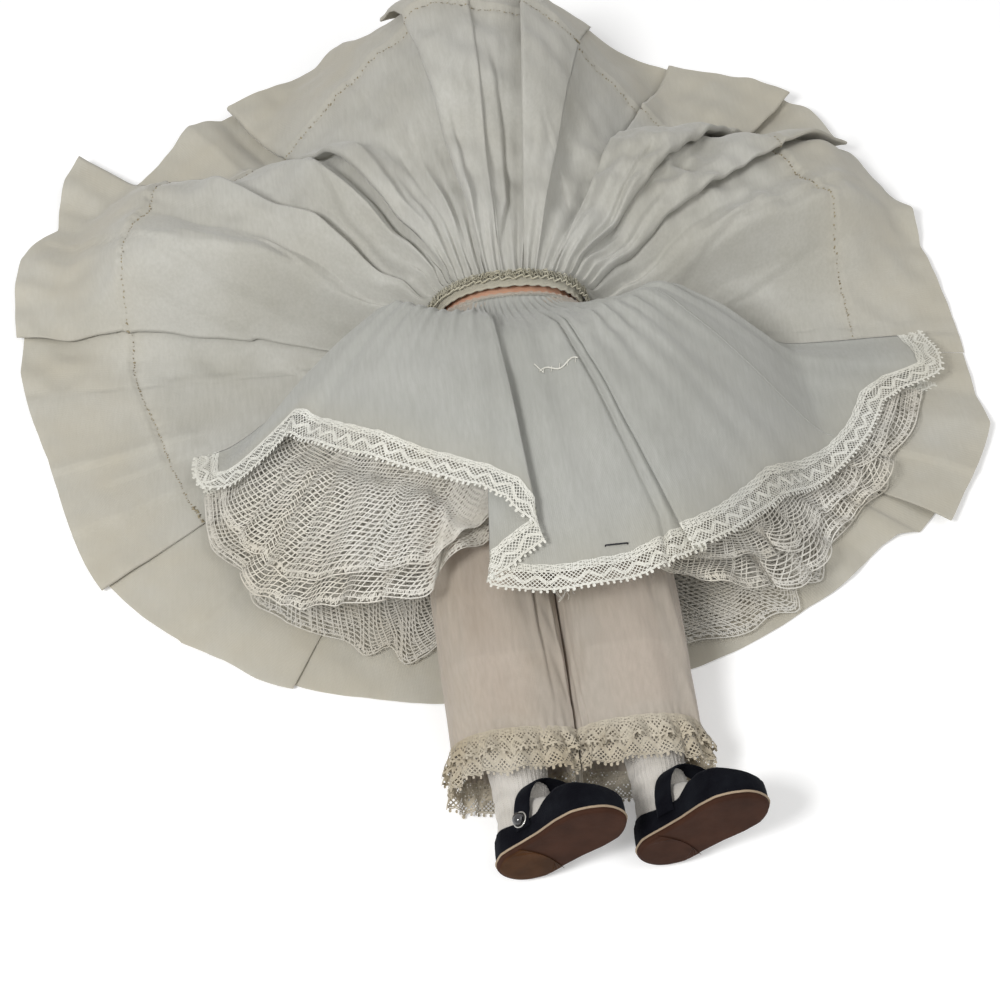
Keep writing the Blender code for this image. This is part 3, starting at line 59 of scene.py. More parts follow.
# ---- numbers and shapes ----
def smooth(x):
    x = np.clip(x, 0.0, 1.0)
    return x * x * (3 - 2 * x)


def mix(a, b, t):
    return a + (b - a) * t


def table(rows, value, column=1):
    """One column of a table of rows, read between them."""
    return np.interp(value, [row[0] for row in rows], [row[column] for row in rows])


def unit(vectors, least=1e-12):
    return vectors / np.maximum(np.linalg.norm(vectors, axis=-1, keepdims=True), least)


def run_along(line):
    """Distance from the start of a line to each of its points."""
    return np.concatenate([[0], np.cumsum(np.linalg.norm(np.diff(line, axis=0), axis=1))])


def bell(value, width, exponent=2):
    """1 at value 0, falling smoothly to 0 past the width."""
    return np.exp(-((value / width) ** exponent))


def circle(count):
    return np.arange(count) / count * TAU


class Waves:
    """A smooth field of seeded waves over a plane, from -1 to 1."""

    def __init__(self, seed, scale, count=14, stretch=1.0):
        rng = np.random.default_rng(seed)
        turn = rng.uniform(0, TAU, count)
        size = rng.uniform(0.5, 1.6, count) / scale
        self.kx = np.cos(turn) * size * TAU
        self.ky = np.sin(turn) * size * TAU * stretch
        self.phase = rng.uniform(0, TAU, count)

    def at(self, x, y):
        total = 0
        for kx, ky, phase in zip(self.kx, self.ky, self.phase):
            total = total + np.sin(kx * x + ky * y + phase)
        return total / math.sqrt(len(self.phase)) / 1.6


def path_curve(points, count, soften):
    """Evenly spaced samples of rows of angle, reach and height, rounded at the corners."""
    rows = np.array(points, float)
    way = rows * (3.2 * MM, 0, MM)
    run = run_along(way)
    fine = np.linspace(0, run[-1], count * 4)
    cols = np.stack([np.interp(fine, run, rows[:, k]) for k in range(rows.shape[1])], 1)
    width = max(1, int(soften * MM / (run[-1] / (count * 4))))
    kernel = np.hanning(2 * width + 3)
    kernel /= kernel.sum()
    padded = np.pad(cols, ((width + 1, width + 1), (0, 0)), mode="edge")
    out = np.stack([np.convolve(padded[:, k], kernel, "valid") for k in range(cols.shape[1])], 1)
    return out[np.linspace(0, len(out) - 1, count).round().astype(int)]


def power(value, exponent):
    return np.sign(value) * np.abs(value) ** exponent


def waist_ring(turn, out, y, squareness=2.3):
    """A point of the waist's oval; turn 0 is the doll's left, a quarter turn is its front."""
    turn = np.asarray(turn, float)
    share = 2 / squareness
    return np.stack([(WAIST_HALF + out) * power(np.cos(turn), share), np.full_like(turn, y),
                     WAIST_MID + (WAIST_DEPTH + out) * power(np.sin(turn), share)], -1)


# ---- meshes ----
def make_object(name, points, faces, uv=None):
    points = np.ascontiguousarray(np.asarray(points, np.float32).reshape(-1, 3))
    faces = np.asarray(faces, np.int32)
    mesh = bpy.data.meshes.new(name)
    mesh.vertices.add(len(points))
    mesh.vertices.foreach_set("co", points.ravel())
    mesh.loops.add(faces.size)
    mesh.loops.foreach_set("vertex_index", faces.ravel())
    mesh.polygons.add(len(faces))
    mesh.polygons.foreach_set("loop_start", np.arange(len(faces), dtype=np.int32) * faces.shape[1])
    mesh.update(calc_edges=True)
    if uv is not None:
        layer = mesh.uv_layers.new(name="cloth")
        layer.data.foreach_set("uv", np.asarray(uv, np.float32)[faces.ravel()].ravel())
    mesh.polygons.foreach_set("use_smooth", np.full(len(faces), True))
    mesh.validate()
    obj = bpy.data.objects.new(name, mesh)
    bpy.context.scene.collection.objects.link(obj)
    return obj


def grid_faces(rows, cols, closed=False):
    r, c = np.meshgrid(np.arange(rows - 1), np.arange(cols if closed else cols - 1), indexing="ij")
    a, b = r * cols + c, r * cols + (c + 1) % cols
    return np.stack([a, b, b + cols, a + cols], -1).reshape(-1, 4)


def sheet_of(name, grid, look, closed=False):
    """A piece of one surface from a grid or a list of rows, its UV in metres along the cloth."""
    grid = np.asarray(grid)
    rows, cols = grid.shape[:2]
    across = np.broadcast_to(run_along(grid[rows // 2]), (rows, cols))
    down = np.cumsum(np.linalg.norm(np.diff(grid, axis=0), axis=2), 0)
    down = np.concatenate([np.zeros((1, cols)), down], 0)
    uv = np.stack([across, down], -1).reshape(-1, 2)
    return dress(make_object(name, grid, grid_faces(rows, cols, closed), uv), look)


def grid_normals(grid):
    return unit(np.cross(np.gradient(grid, axis=1), np.gradient(grid, axis=0)))


class Surface:
    """A grid of points that can be read between its rows and columns, at shares 0 to 1."""

    def __init__(self, grid):
        self.grid = grid
        self.normals = grid_normals(grid)

    def read(self, array, u, v):
        rows, cols = self.grid.shape[:2]
        x = np.clip(u, 0, 1) * (cols - 1.000001)
        y = np.clip(v, 0, 1) * (rows - 1.000001)
        i, j = y.astype(int), x.astype(int)
        fy, fx = (y - i)[..., None], (x - j)[..., None]
        return ((array[i, j] * (1 - fx) + array[i, j + 1] * fx) * (1 - fy)
                + (array[i + 1, j] * (1 - fx) + array[i + 1, j + 1] * fx) * fy)

    def evenly(self, share, row=0.5):
        """Column shares that lie at even distances along a row."""
        line = self.grid[int(row * (self.grid.shape[0] - 1))]
        run = run_along(line)
        return np.interp(share, run / run[-1], np.linspace(0, 1, len(line)))

    def at(self, u, v, off=0.0):
        """Points lifted off the surface, and its normals."""
        v = np.broadcast_to(v, np.shape(u))
        normal = unit(self.read(self.normals, u, v), 1e-9)
        return self.read(self.grid, u, v) + normal * np.broadcast_to(off, v.shape)[..., None], normal


def ribbons(name, lines, look):
    """Flat threads. Each line is (points, normals, half width)."""
    points, faces, uvs = [], [], []
    base = 0
    for line, normal, half in lines:
        across = unit(np.cross(normal, np.gradient(line, axis=0)))
        across = across * np.asarray(half, float).reshape(-1, 1)
        n = len(line)
        points += [line - across, line + across]
        k = np.arange(n - 1)
        faces.append(np.stack([k, k + 1, k + 1 + n, k + n], -1) + base)
        run = run_along(line)
        uvs += [np.stack([run, np.full(n, edge)], -1) for edge in (0, 0.0005)]
        base += 2 * n
    return dress(make_object(name, *(np.concatenate(part) for part in (points, faces, uvs))), look)


def tubes(name, lines, sides, look, closed=False):
    """Round threads. Each line is (points, radius)."""
    points, faces = [], []
    base = 0
    turn = circle(sides)[None, :, None]
    for line, radius in lines:
        line = np.asarray(line, float)
        n = len(line)
        if closed:
            tangent = np.roll(line, -1, axis=0) - np.roll(line, 1, axis=0)
        else:
            tangent = np.gradient(line, axis=0)
        tangent = unit(tangent)
        side = unit(np.cross(tangent, np.array([0.13, 0.31, 0.94])), 1e-9)
        up = np.cross(side, tangent)
        ring = line[:, None] + (side[:, None] * np.cos(turn) + up[:, None] * np.sin(turn)) * radius
        points.append(ring.reshape(-1, 3))
        faces.append(grid_faces(n + 1 if closed else n, sides, closed=True) % (n * sides) + base)
        base += n * sides
    return dress(make_object(name, np.concatenate(points), np.concatenate(faces)), look)


def xyz(x, y, z):
    """Points from three rows of values, or from single values where a row is level."""
    return np.stack(np.broadcast_arrays(x, y, z), -1)


def fit(piece, body=None, node=None):
    """Where a piece rides and which solid it stands for."""
    if body:
        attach(piece, body)
    if node:
        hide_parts(node)


# ---- height of the doll under the cloth ----
class Drape:
    """Height of the named solids from above, widened, sloped off and softened as cloth would lie."""
    HALF = 0.2600

    def __init__(self, names, turned=(), low_y=-1.0, high_y=1.0, spread=0.008, soften=5, slope=1.0,
                 cell=0.0020, clear=0.0022):
        self.cell = cell
        self.count = int(round(2 * self.HALF / cell)) + 1
        line = np.linspace(-self.HALF, self.HALF, self.count)
        points, faces = [], []
        for name in [*names, *turned]:
            mesh = nodes[name].data
            copies = [[v.co for v in mesh.vertices]]
            if name in turned:
                # The arm as it lies when its shoulder is turned right up
                copies.append([Vector((p[0], 0.2 - p[1], 0.047 - p[2])) for p in copies[0]])
            for copy in copies:
                faces += [[len(points) + i for i in f.vertices] for f in mesh.polygons]
                points += copy
        tree = BVHTree.FromPolygons(points, faces)
        field = np.zeros((self.count, self.count))
        for i, x in enumerate(line):
            for j, y in enumerate(line):
                if low_y <= y <= high_y:
                    hit = tree.ray_cast(Vector((x, y, 0.5)), Vector((0, 0, -1)))
                    if hit[0] is not None:
                        field[i, j] = hit[0].z + clear
        for _ in range(int(round(spread / cell))):
            field = np.max([np.roll(field, move, (0, 1)) for move in NEIGHBOURS], axis=0)
        step = cell * slope
        for _ in range(int(0.09 / step)):
            field = np.max([np.roll(field, move, (0, 1)) - step * math.hypot(*move)
                            for move in NEIGHBOURS], axis=0)
        for _ in range(soften):
            field = sum(np.roll(field, move, (0, 1)) for move in NEIGHBOURS) / 9
        self.field = field

    def at(self, x, y):
        u, v = (np.clip((np.asarray(place) + self.HALF) / self.cell, 0, self.count - 1.001)
                for place in (x, y))
        i, j = u.astype(int), v.astype(int)
        a, b = u - i, v - j
        f = self.field
        return ((f[i, j] * (1 - a) + f[i + 1, j] * a) * (1 - b)
                + (f[i, j + 1] * (1 - a) + f[i + 1, j + 1] * a) * b)


# ---- materials ----
def set_inputs(tree, node, inputs):
    """Sets sockets by name or number: another socket is linked, and a value or colour is set."""
    for key, value in inputs.items():
        socket = node.inputs[key]
        if isinstance(value, bpy.types.NodeSocket):
            tree.links.new(value, socket)
        else:
            socket.default_value = (*value, 1) if socket.type == "RGBA" else value


def add(tree, kind, inputs=None, **settings):
    node = tree.nodes.new(kind)
    for key, value in settings.items():
        setattr(node, key, value)
    set_inputs(tree, node, inputs or {})
    return node


def shader(name, colour, roughness, **inputs):
    """A material with its tree and its Principled shader; underscores stand for spaces."""
    mat = bpy.data.materials.new(name)
    mat.use_nodes = True
    bsdf = mat.node_tree.nodes["Principled BSDF"]
    set_inputs(mat.node_tree, bsdf, {"Base Color": colour, "Roughness": roughness,
                               **{key.replace("_", " "): value for key, value in inputs.items()}})
    return mat, mat.node_tree, bsdf


def noise(tree, scale, detail, coords="Object", stretch=None):
    out = add(tree, "ShaderNodeTexCoord").outputs[coords]
    if stretch:
        out = add(tree, "ShaderNodeMapping", {"Vector": out, "Scale": stretch}).outputs["Vector"]
    return add(tree, "ShaderNodeTexNoise", {"Vector": out, "Scale": scale, "Detail": detail,
                                            "Roughness": 0.55}).outputs["Fac"]


def ramp(tree, fac, low, high):
    """A colour ramp between two stops, each a place and a colour."""
    node = add(tree, "ShaderNodeValToRGB", {"Fac": fac})
    for element, (place, colour) in zip(node.color_ramp.elements, (low, high)):
        element.position = place
        element.color = (*colour, 1)
    return node.outputs["Color"]


def multiply(tree, first, second, clamp=False):
    return add(tree, "ShaderNodeMath", {0: first, 1: second}, operation="MULTIPLY",
               use_clamp=clamp).outputs[0]


def mix_colour(tree, fac, first, second, mode="MIX"):
    return add(tree, "ShaderNodeMix", {0: fac, 6: first, 7: second}, data_type="RGBA",
               blend_type=mode).outputs[2]


def weave(tree, pitch):
    """Threads over and under each other, as a height from 0 to 1; pitch in metres."""
    place = add(tree, "ShaderNodeTexCoord").outputs["UV"]
    return multiply(tree, *(add(tree, "ShaderNodeTexWave", {"Vector": place, "Scale": 0.314 / pitch,
                                                            "Distortion": 0.6, "Detail": 1.5},
                                wave_type="BANDS", bands_direction=direction).outputs["Fac"]
                            for direction in ("X", "Y")))


def bump(tree, bsdf, height, strength, distance, **before):
    node = add(tree, "ShaderNodeBump", {"Height": height, "Strength": strength, "Distance": distance,
                                        **before})
    set_inputs(tree, bsdf, {"Normal": node.outputs["Normal"]})
    return node.outputs["Normal"]


def cotton(name, light, shade, warm=None, pitch=0.0006, through=0.12, alpha=1.0):
    """Woven cotton: fine weave, slubs, faint stains, and a warm colour where the points' values call for it:
    warm ageing, and on the skirt also painted shade along the puckered hem seam.
    """
    mat, tree, bsdf = shader(name, light, 0.88, Sheen_Weight=0.25, Sheen_Roughness=0.5,
                             Specular_IOR_Level=0.25, Alpha=alpha)
    blot = ramp(tree, noise(tree, 22, 5), (0.36, shade), (0.62, light))
    slub = noise(tree, 900, 3, stretch=(1.0, 0.12, 1.0))
    grain = ramp(tree, slub, (0.30, (0.90, 0.90, 0.89)), (0.70, (1, 1, 1)))
    colour = mix_colour(tree, 1.0, blot, grain, "MULTIPLY")
    if warm:
        # Warm colour from the points' values: ageing, and on the skirt painted shade at the hem seam
        wear_and_shade = add(tree, "ShaderNodeAttribute", attribute_name="age").outputs["Fac"]
        patch = ramp(tree, noise(tree, 30, 6), (0.30, (0.35, 0.35, 0.35)), (0.72, (1, 1, 1)))
        colour = mix_colour(tree, multiply(tree, wear_and_shade, patch, clamp=True), colour, warm)
    set_inputs(tree, bsdf, {"Base Color": colour})
    threads = weave(tree, pitch)
    crumple = bump(tree, bsdf, noise(tree, 240, 4), 0.22, 0.0006)
    bump(tree, bsdf, threads, 0.25, 0.00012, Normal=crumple)
    clear = add(tree, "ShaderNodeBsdfTranslucent", {"Color": colour})
    both = add(tree, "ShaderNodeMixShader", {0: through, 1: bsdf.outputs[0], 2: clear.outputs[0]})
    set_inputs(tree, tree.nodes["Material Output"], {"Surface": both.outputs[0]})
    return mat


def thread(name, light, dark):
    """Twisted cotton thread for lace, net and stitches."""
    mat, tree, bsdf = shader(name, light, 0.9, Sheen_Weight=0.2, Specular_IOR_Level=0.2)
    patch = ramp(tree, noise(tree, 26, 5), (0.35, dark), (0.62, light))
    twist = ramp(tree, noise(tree, 1400, 2), (0.25, (0.84, 0.84, 0.82)), (0.7, (1, 1, 1)))
    set_inputs(tree, bsdf, {"Base Color": mix_colour(tree, 1.0, patch, twist, "MULTIPLY")})
    bump(tree, bsdf, noise(tree, 1400, 2), 0.5, 0.00015)
    return mat


def hard(name, colour, roughness, metallic=0.0, coat=0.0, vary=0.06, scale=60, gloss=0.5):
    """Leather, paint, glass or metal with faint unevenness in colour and gloss."""
    mat, tree, bsdf = shader(name, colour, roughness, Specular_IOR_Level=gloss, Metallic=metallic,
                             Coat_Weight=coat)
    low, high = (tuple(np.clip(np.array(colour) * (1 + vary * way), 0, 1)) for way in (-2, 1))
    uneven = add(tree, "ShaderNodeMapRange", {"Value": noise(tree, scale * 3, 4),
                                              "To Min": max(0.02, roughness - 0.06),
                                              "To Max": min(1, roughness + 0.12)})
    set_inputs(tree, bsdf, {"Base Color": ramp(tree, noise(tree, scale, 5), (0.3, low), (0.7, high)),
                      "Roughness": uneven.outputs[0]})
    bump(tree, bsdf, noise(tree, scale * 9, 3), 0.15, 0.0002)
    return mat


def toned(name, colour, roughness, tone, low, high, height, strength, depth, **inputs):
    """A surface whose colour follows one noise and whose relief another; both are (scale, detail)."""
    mat, tree, bsdf = shader(name, colour, roughness, **inputs)
    set_inputs(tree, bsdf, {"Base Color": ramp(tree, noise(tree, *tone), low, high)})
    bump(tree, bsdf, weave(tree, height) if isinstance(height, float) else noise(tree, *height),
         strength, depth)
    return mat


HAIR = (60, 4, "UV", (60.0, 1.0, 1.0))
LOOKS = {
    "skirt": cotton("skirt_look", (0.530, 0.524, 0.484), (0.460, 0.450, 0.402),
                    warm=(0.500, 0.462, 0.372), pitch=0.00055, through=0.08),
    "outer": cotton("outer_look", (0.520, 0.500, 0.420), (0.470, 0.440, 0.350), pitch=0.00055),
    "petti": cotton("petticoat_look", (0.460, 0.462, 0.432), (0.425, 0.427, 0.395),
                    warm=(0.430, 0.395, 0.300), pitch=0.0005, through=0.12),
    "pants": cotton("pantalette_look", (0.530, 0.475, 0.410), (0.485, 0.420, 0.345), pitch=0.0005,
                    through=0.15, alpha=0.86),
    "lace": thread("lace_look", (0.780, 0.775, 0.720), (0.700, 0.680, 0.600)),
    "cuff": thread("cuff_look", (0.540, 0.490, 0.400), (0.430, 0.365, 0.260)),
    "net": thread("net_look", (0.690, 0.670, 0.620), (0.600, 0.560, 0.480)),
    "edge": thread("edging_look", (0.560, 0.535, 0.430), (0.440, 0.400, 0.290)),
    "stitch": thread("stitch_look", (0.360, 0.315, 0.215), (0.230, 0.185, 0.110)),
    "velvet": toned("velvet_look", (0.004, 0.004, 0.006), 0.95, (130, 5), (0.35, (0.003, 0.003, 0.005)),
                    (0.7, (0.008, 0.009, 0.012)), (1500, 3), 0.7, 0.0003, Sheen_Weight=0.035,
                    Sheen_Roughness=0.40, Sheen_Tint=(0.60, 0.64, 0.75), Specular_IOR_Level=0.06),
    "skin": toned("skin_look", (0.62, 0.36, 0.24), 0.42, (35, 4), (0.3, (0.58, 0.32, 0.21)),
                  (0.7, (0.66, 0.40, 0.28)), (420, 3), 0.08, 0.0002, Subsurface_Weight=0.08,
                  Subsurface_Radius=(0.004, 0.002, 0.001)),
    "knit": toned("knit_look", (0.56, 0.53, 0.49), 0.92, (60, 4), (0.3, (0.50, 0.47, 0.42)),
                  (0.7, (0.60, 0.57, 0.53)), 0.0007, 0.6, 0.00025, Sheen_Weight=0.3),
    "hair": toned("hair_look", (0.16, 0.075, 0.035), 0.45, HAIR, (0.25, (0.07, 0.03, 0.014)),
                  (0.75, (0.25, 0.13, 0.06)), HAIR, 0.6, 0.0006),
    "sole": hard("sole_look", (0.047, 0.020, 0.012), 0.68, vary=0.16, scale=90, gloss=0.08),
    "heel": hard("heel_look", (0.058, 0.023, 0.007), 0.62, vary=0.18, scale=120, gloss=0.10),
    "welt": hard("welt_look", (0.330, 0.250, 0.170), 0.7, vary=0.10, scale=150),
    "button": hard("button_look", (0.006, 0.006, 0.007), 0.10, coat=0.8),
    "metal": hard("metal_look", (0.50, 0.49, 0.46), 0.28, metallic=1.0),
    "staple": hard("staple_look", (0.03, 0.03, 0.035), 0.35, metallic=0.8),
    "elastic": thread("elastic_look", (0.60, 0.57, 0.48), (0.48, 0.45, 0.36)),
    "eye": hard("eye_look", (0.05, 0.12, 0.22), 0.08, coat=1.0),
    "paint": hard("paint_look", (0.50, 0.14, 0.11), 0.35),
}


def dress(obj, look):
    """Gives the object one material in place of what it had."""
    obj.data.materials.clear()
    obj.data.materials.append(LOOKS[look])
    return obj


def age(obj, values):
    """How aged each point of the cloth is, from 0 to 1, for its material; on the skirt a narrow band along the
    hem seam is painted shade of its pucker, not age.
    """
    layer = obj.data.attributes.new("age", "FLOAT", "POINT")
    layer.data.foreach_set("value", np.asarray(values, np.float32).ravel())


# ---- the dress skirt, turned up and spread as a full circle ----
# Plan angle in degrees from the doll's left, share of the radius, height in mm. Where the angle
# runs back, the cloth folds under itself.
SKIRT_RADIUS = 0.1870
SKIRT_PATH = (
    (-6, .970, .6), (-3, .967, 1.0), (3, .965, 2.2), (8, .965, 4.6), (13, .972, 1.2),
    (18, .997, 6.6), (21.5, .965, 4.2), (27, .970, 1.2), (31, .980, 1.2), (34.8, .985, 1.6),
    (35.0, .985, 3.0), (31.4, .985, 4.6), (31.2, .985, 6.8), (36, 1.01, 7.2), (40, 1.03, 5.0),
    (43.5, 1.03, 3.2), (47.6, 1.03, 3.4), (47.8, 1.03, 4.8), (43.5, 1.03, 6.4), (43.2, 1.03, 8.8),
    (49, 1.02, 8.2), (54, 1.005, 7.0), (58, 1.0, 5.0), (60.5, 1.0, 4.6), (60.6, 1.0, 3.0),
    (57.8, 1.0, 2.2), (57.9, 1.0, 1.2), (63, .995, 1.2), (68, .995, 3.0), (72.5, .995, 6.0),
    (73.0, .995, 7.4), (71.4, .995, 8.0),
    (77, .99, 9.6), (81.5, .99, 9.2), (82.0, .985, 7.6), (78.2, .985, 5.6), (78.0, .985, 4.0),
    (82, .985, 1.6), (85.0, .985, .8), (89, .985, 3.0), (91.5, .985, 5.4), (92.2, .985, 4.2),
    (89.8, .985, 3.4), (89.7, .985, 5.6),
    (95, .985, 7.6), (100.2, .985, 9.4), (101.0, .985, 8.6), (101.0, .985, 6.2), (97.6, .985, 4.4),
    (97.5, .985, 2.6), (101.5, .985, 1.2), (104, .985, 1.6),
    (107, .99, 4.4), (110.5, .99, 3.0), (114, .99, 6.4), (120, .985, 9.2), (124.6, .99, 9.0),
    (124.8, .99, 7.0), (120.8, .99, 4.6), (120.8, .99, 3.0), (125.5, .995, 1.8),
    (128, 1.0, 5.0), (130.5, 1.005, 7.6), (133.5, 1.0, 4.6), (137, .995, 1.2), (141, .99, .8),
    (145.6, 1.0, 1.4), (145.8, 1.04, 3.0), (142.6, 1.13, 5.0), (142.4, 1.14, 7.0),
    (146, 1.13, 6.0), (150, 1.10, 3.2), (153, 1.07, 2.0), (156, 1.085, 5.0), (160, 1.092, 8.2),
    (165, 1.075, 8.0), (169.5, 1.055, 7.0), (171, 1.05, 5.6), (170.6, 1.05, 3.6),
    (166.4, 1.045, 2.6), (166.5, 1.04, 1.4), (171.5, 1.035, .8), (176, 1.03, 1.6),
    (181, 1.01, 2.8), (186, .99, 1.2), (190, .98, .5), (195, .98, 1.2), (200, .985, 3.0),
    (204, .99, 1.8), (207, .995, 1.6), (210, 1.0, 3.4), (211.4, 1.0, 2.8), (211.0, 1.0, 1.8),
    (207.3, .995, 1.2), (207.3, .99, .6), (212, .98, .3), (217, .975, .5), (223, .965, 1.0),
    (228.5, .945, 2.4), (230.2, .94, .5), (233, .94, .5), (236.5, .935, 2.8), (237.8, .93, 2.2),
    (237.3, .93, 1.5), (234.0, .93, .9), (234.1, .925, .5), (238.5, .92, .3), (246, .895, .5),
    (254, .88, .8), (262, .86, .4), (272, .855, .4), (280, .855, .5), (288, .865, .4),
    (296, .865, .5), (305, .87, .5), (309, .88, 1.6), (312.5, .885, 3.4), (314.5, .885, 2.6),
    (316.5, .885, .6), (319, .89, 1.6), (321.5, .905, 3.8), (323, .93, 3.0), (323.5, .94, .8),
    (327, .95, .6), (329.6, .96, 1.4), (329.8, .97, 2.6), (326.3, .985, 4.4), (326.0, .99, 6.2),
    (331, .99, 5.4), (337, 1.0, 4.6), (342, 1.01, 6.2), (344, 1.0, 4.6), (347, .985, 1.6),
    (350.5, .975, 2.8), (354, .970, .6),
)
SKIRT_RISE_TURN = 18.0      # degrees over which the cloth rises from the floor at the waist's sides
SKIRT_COLS, SKIRT_ROWS = 1000, 104
ROW_GROWTH = 1.12           # rows lie closer near the waist
HEM_SHARE = 0.72            # where the deep hem is stitched, as a share from waist to edge

# Creases pressed into the cloth: plan points running in towards the waist, the step in mm, and the
# side that stands up, 1 for the doll's left of a line that runs to the feet
CREASES = (
    (((-.016, .130), (-.012, .100), (-.010, .077), (-.010, .056)), 1.5, -1),
    (((.004, .160), (.006, .115), (.004, .080), (-.002, .058)), 2.6, -1),
    (((.022, .125), (.026, .101), (.029, .078)), 1.0, 1),
    (((.070, .114), (.061, .101), (.041, .070), (.023, .050)), 1.7, -1),
    (((.094, .133), (.081, .109), (.058, .087), (.043, .068)), 1.6, -1),
    (((.114, .089), (.102, .080), (.078, .064), (.055, .050), (.044, .046)), 1.8, -1),
    (((.132, .075), (.122, .070), (.075, .049), (.044, .043)), 1.3, -1),
    (((-.076, .126), (-.071, .118), (-.059, .085), (-.030, .051)), 1.6, 1),
    (((-.092, .112), (-.084, .105), (-.058, .080), (-.041, .056)), 1.2, 1),
    (((-.112, .096), (-.086, .078), (-.068, .059), (-.043, .034)), 1.5, 1),
    (((-.158, .084), (-.139, .075), (-.100, .059), (-.062, .028)), 1.5, 1),
    (((-.030, .150), (-.032, .118), (-.022, .086), (-.017, .060)), .9, 1),
    (((.186, .036), (.171, .037), (.141, .038), (.100, .038)), 1.6, 1),
    (((-.192, .134), (-.161, .111), (-.140, .093), (-.109, .070), (-.070, .055)), 2.0, 1),
    (((-.196, .003), (-.157, .009), (-.118, .020)), 2.0, 1),
    (((-.186, -.032), (-.153, -.019), (-.122, -.005)), 1.8, 1),
    (((.164, .110), (.123, .088), (.082, .070)), 1.8, -1),
    (((.176, -.042), (.163, -.035), (.128, -.013)), 1.8, -1),
    (((-.150, -.095), (-.125, -.070), (-.106, -.052)), 1.4, 1),
)


def crease_height(x, y):
    """A step with a short slope on its low side, which fades out at both ends of each line."""
    total = np.zeros(np.broadcast(x, y).shape)
    for points, step, side in CREASES:
        line = np.array(points)
        near, apart, share = total * 0 + 9.0, total * 0, total * 0
        for k, ((ax, ay), (bx, by)) in enumerate(zip(line[:-1], np.diff(line, axis=0))):
            along = np.clip(((x - ax) * bx + (y - ay) * by) / (bx * bx + by * by), 0, 1)
            dx, dy = x - ax - along * bx, y - ay - along * by
            away = np.hypot(dx, dy)
            closer = away < near
            apart = np.where(closer, np.sign(bx * dy - by * dx) * away * side, apart)
            share = np.where(closer, (k + along) / (len(line) - 1), share)
            near = np.minimum(near, away)
        high, low = np.exp(-np.maximum(apart, 0) / 0.011), -0.45 * np.exp(np.minimum(apart, 0) / 0.0040)
        edge = smooth(apart / 0.0014 + 0.5)
        total += step * MM * mix(low, high, edge) * smooth(share / 0.30) * smooth((1 - share) / 0.15)
    return total


body_drape = Drape(["torso_front", "torso_back", "head_shell", "wig", "dress_bodice", "left_eye",
                    "right_eye"],
                   turned=["left_arm", "right_arm", "left_sleeve", "right_sleeve"], low_y=WAIST_Y)


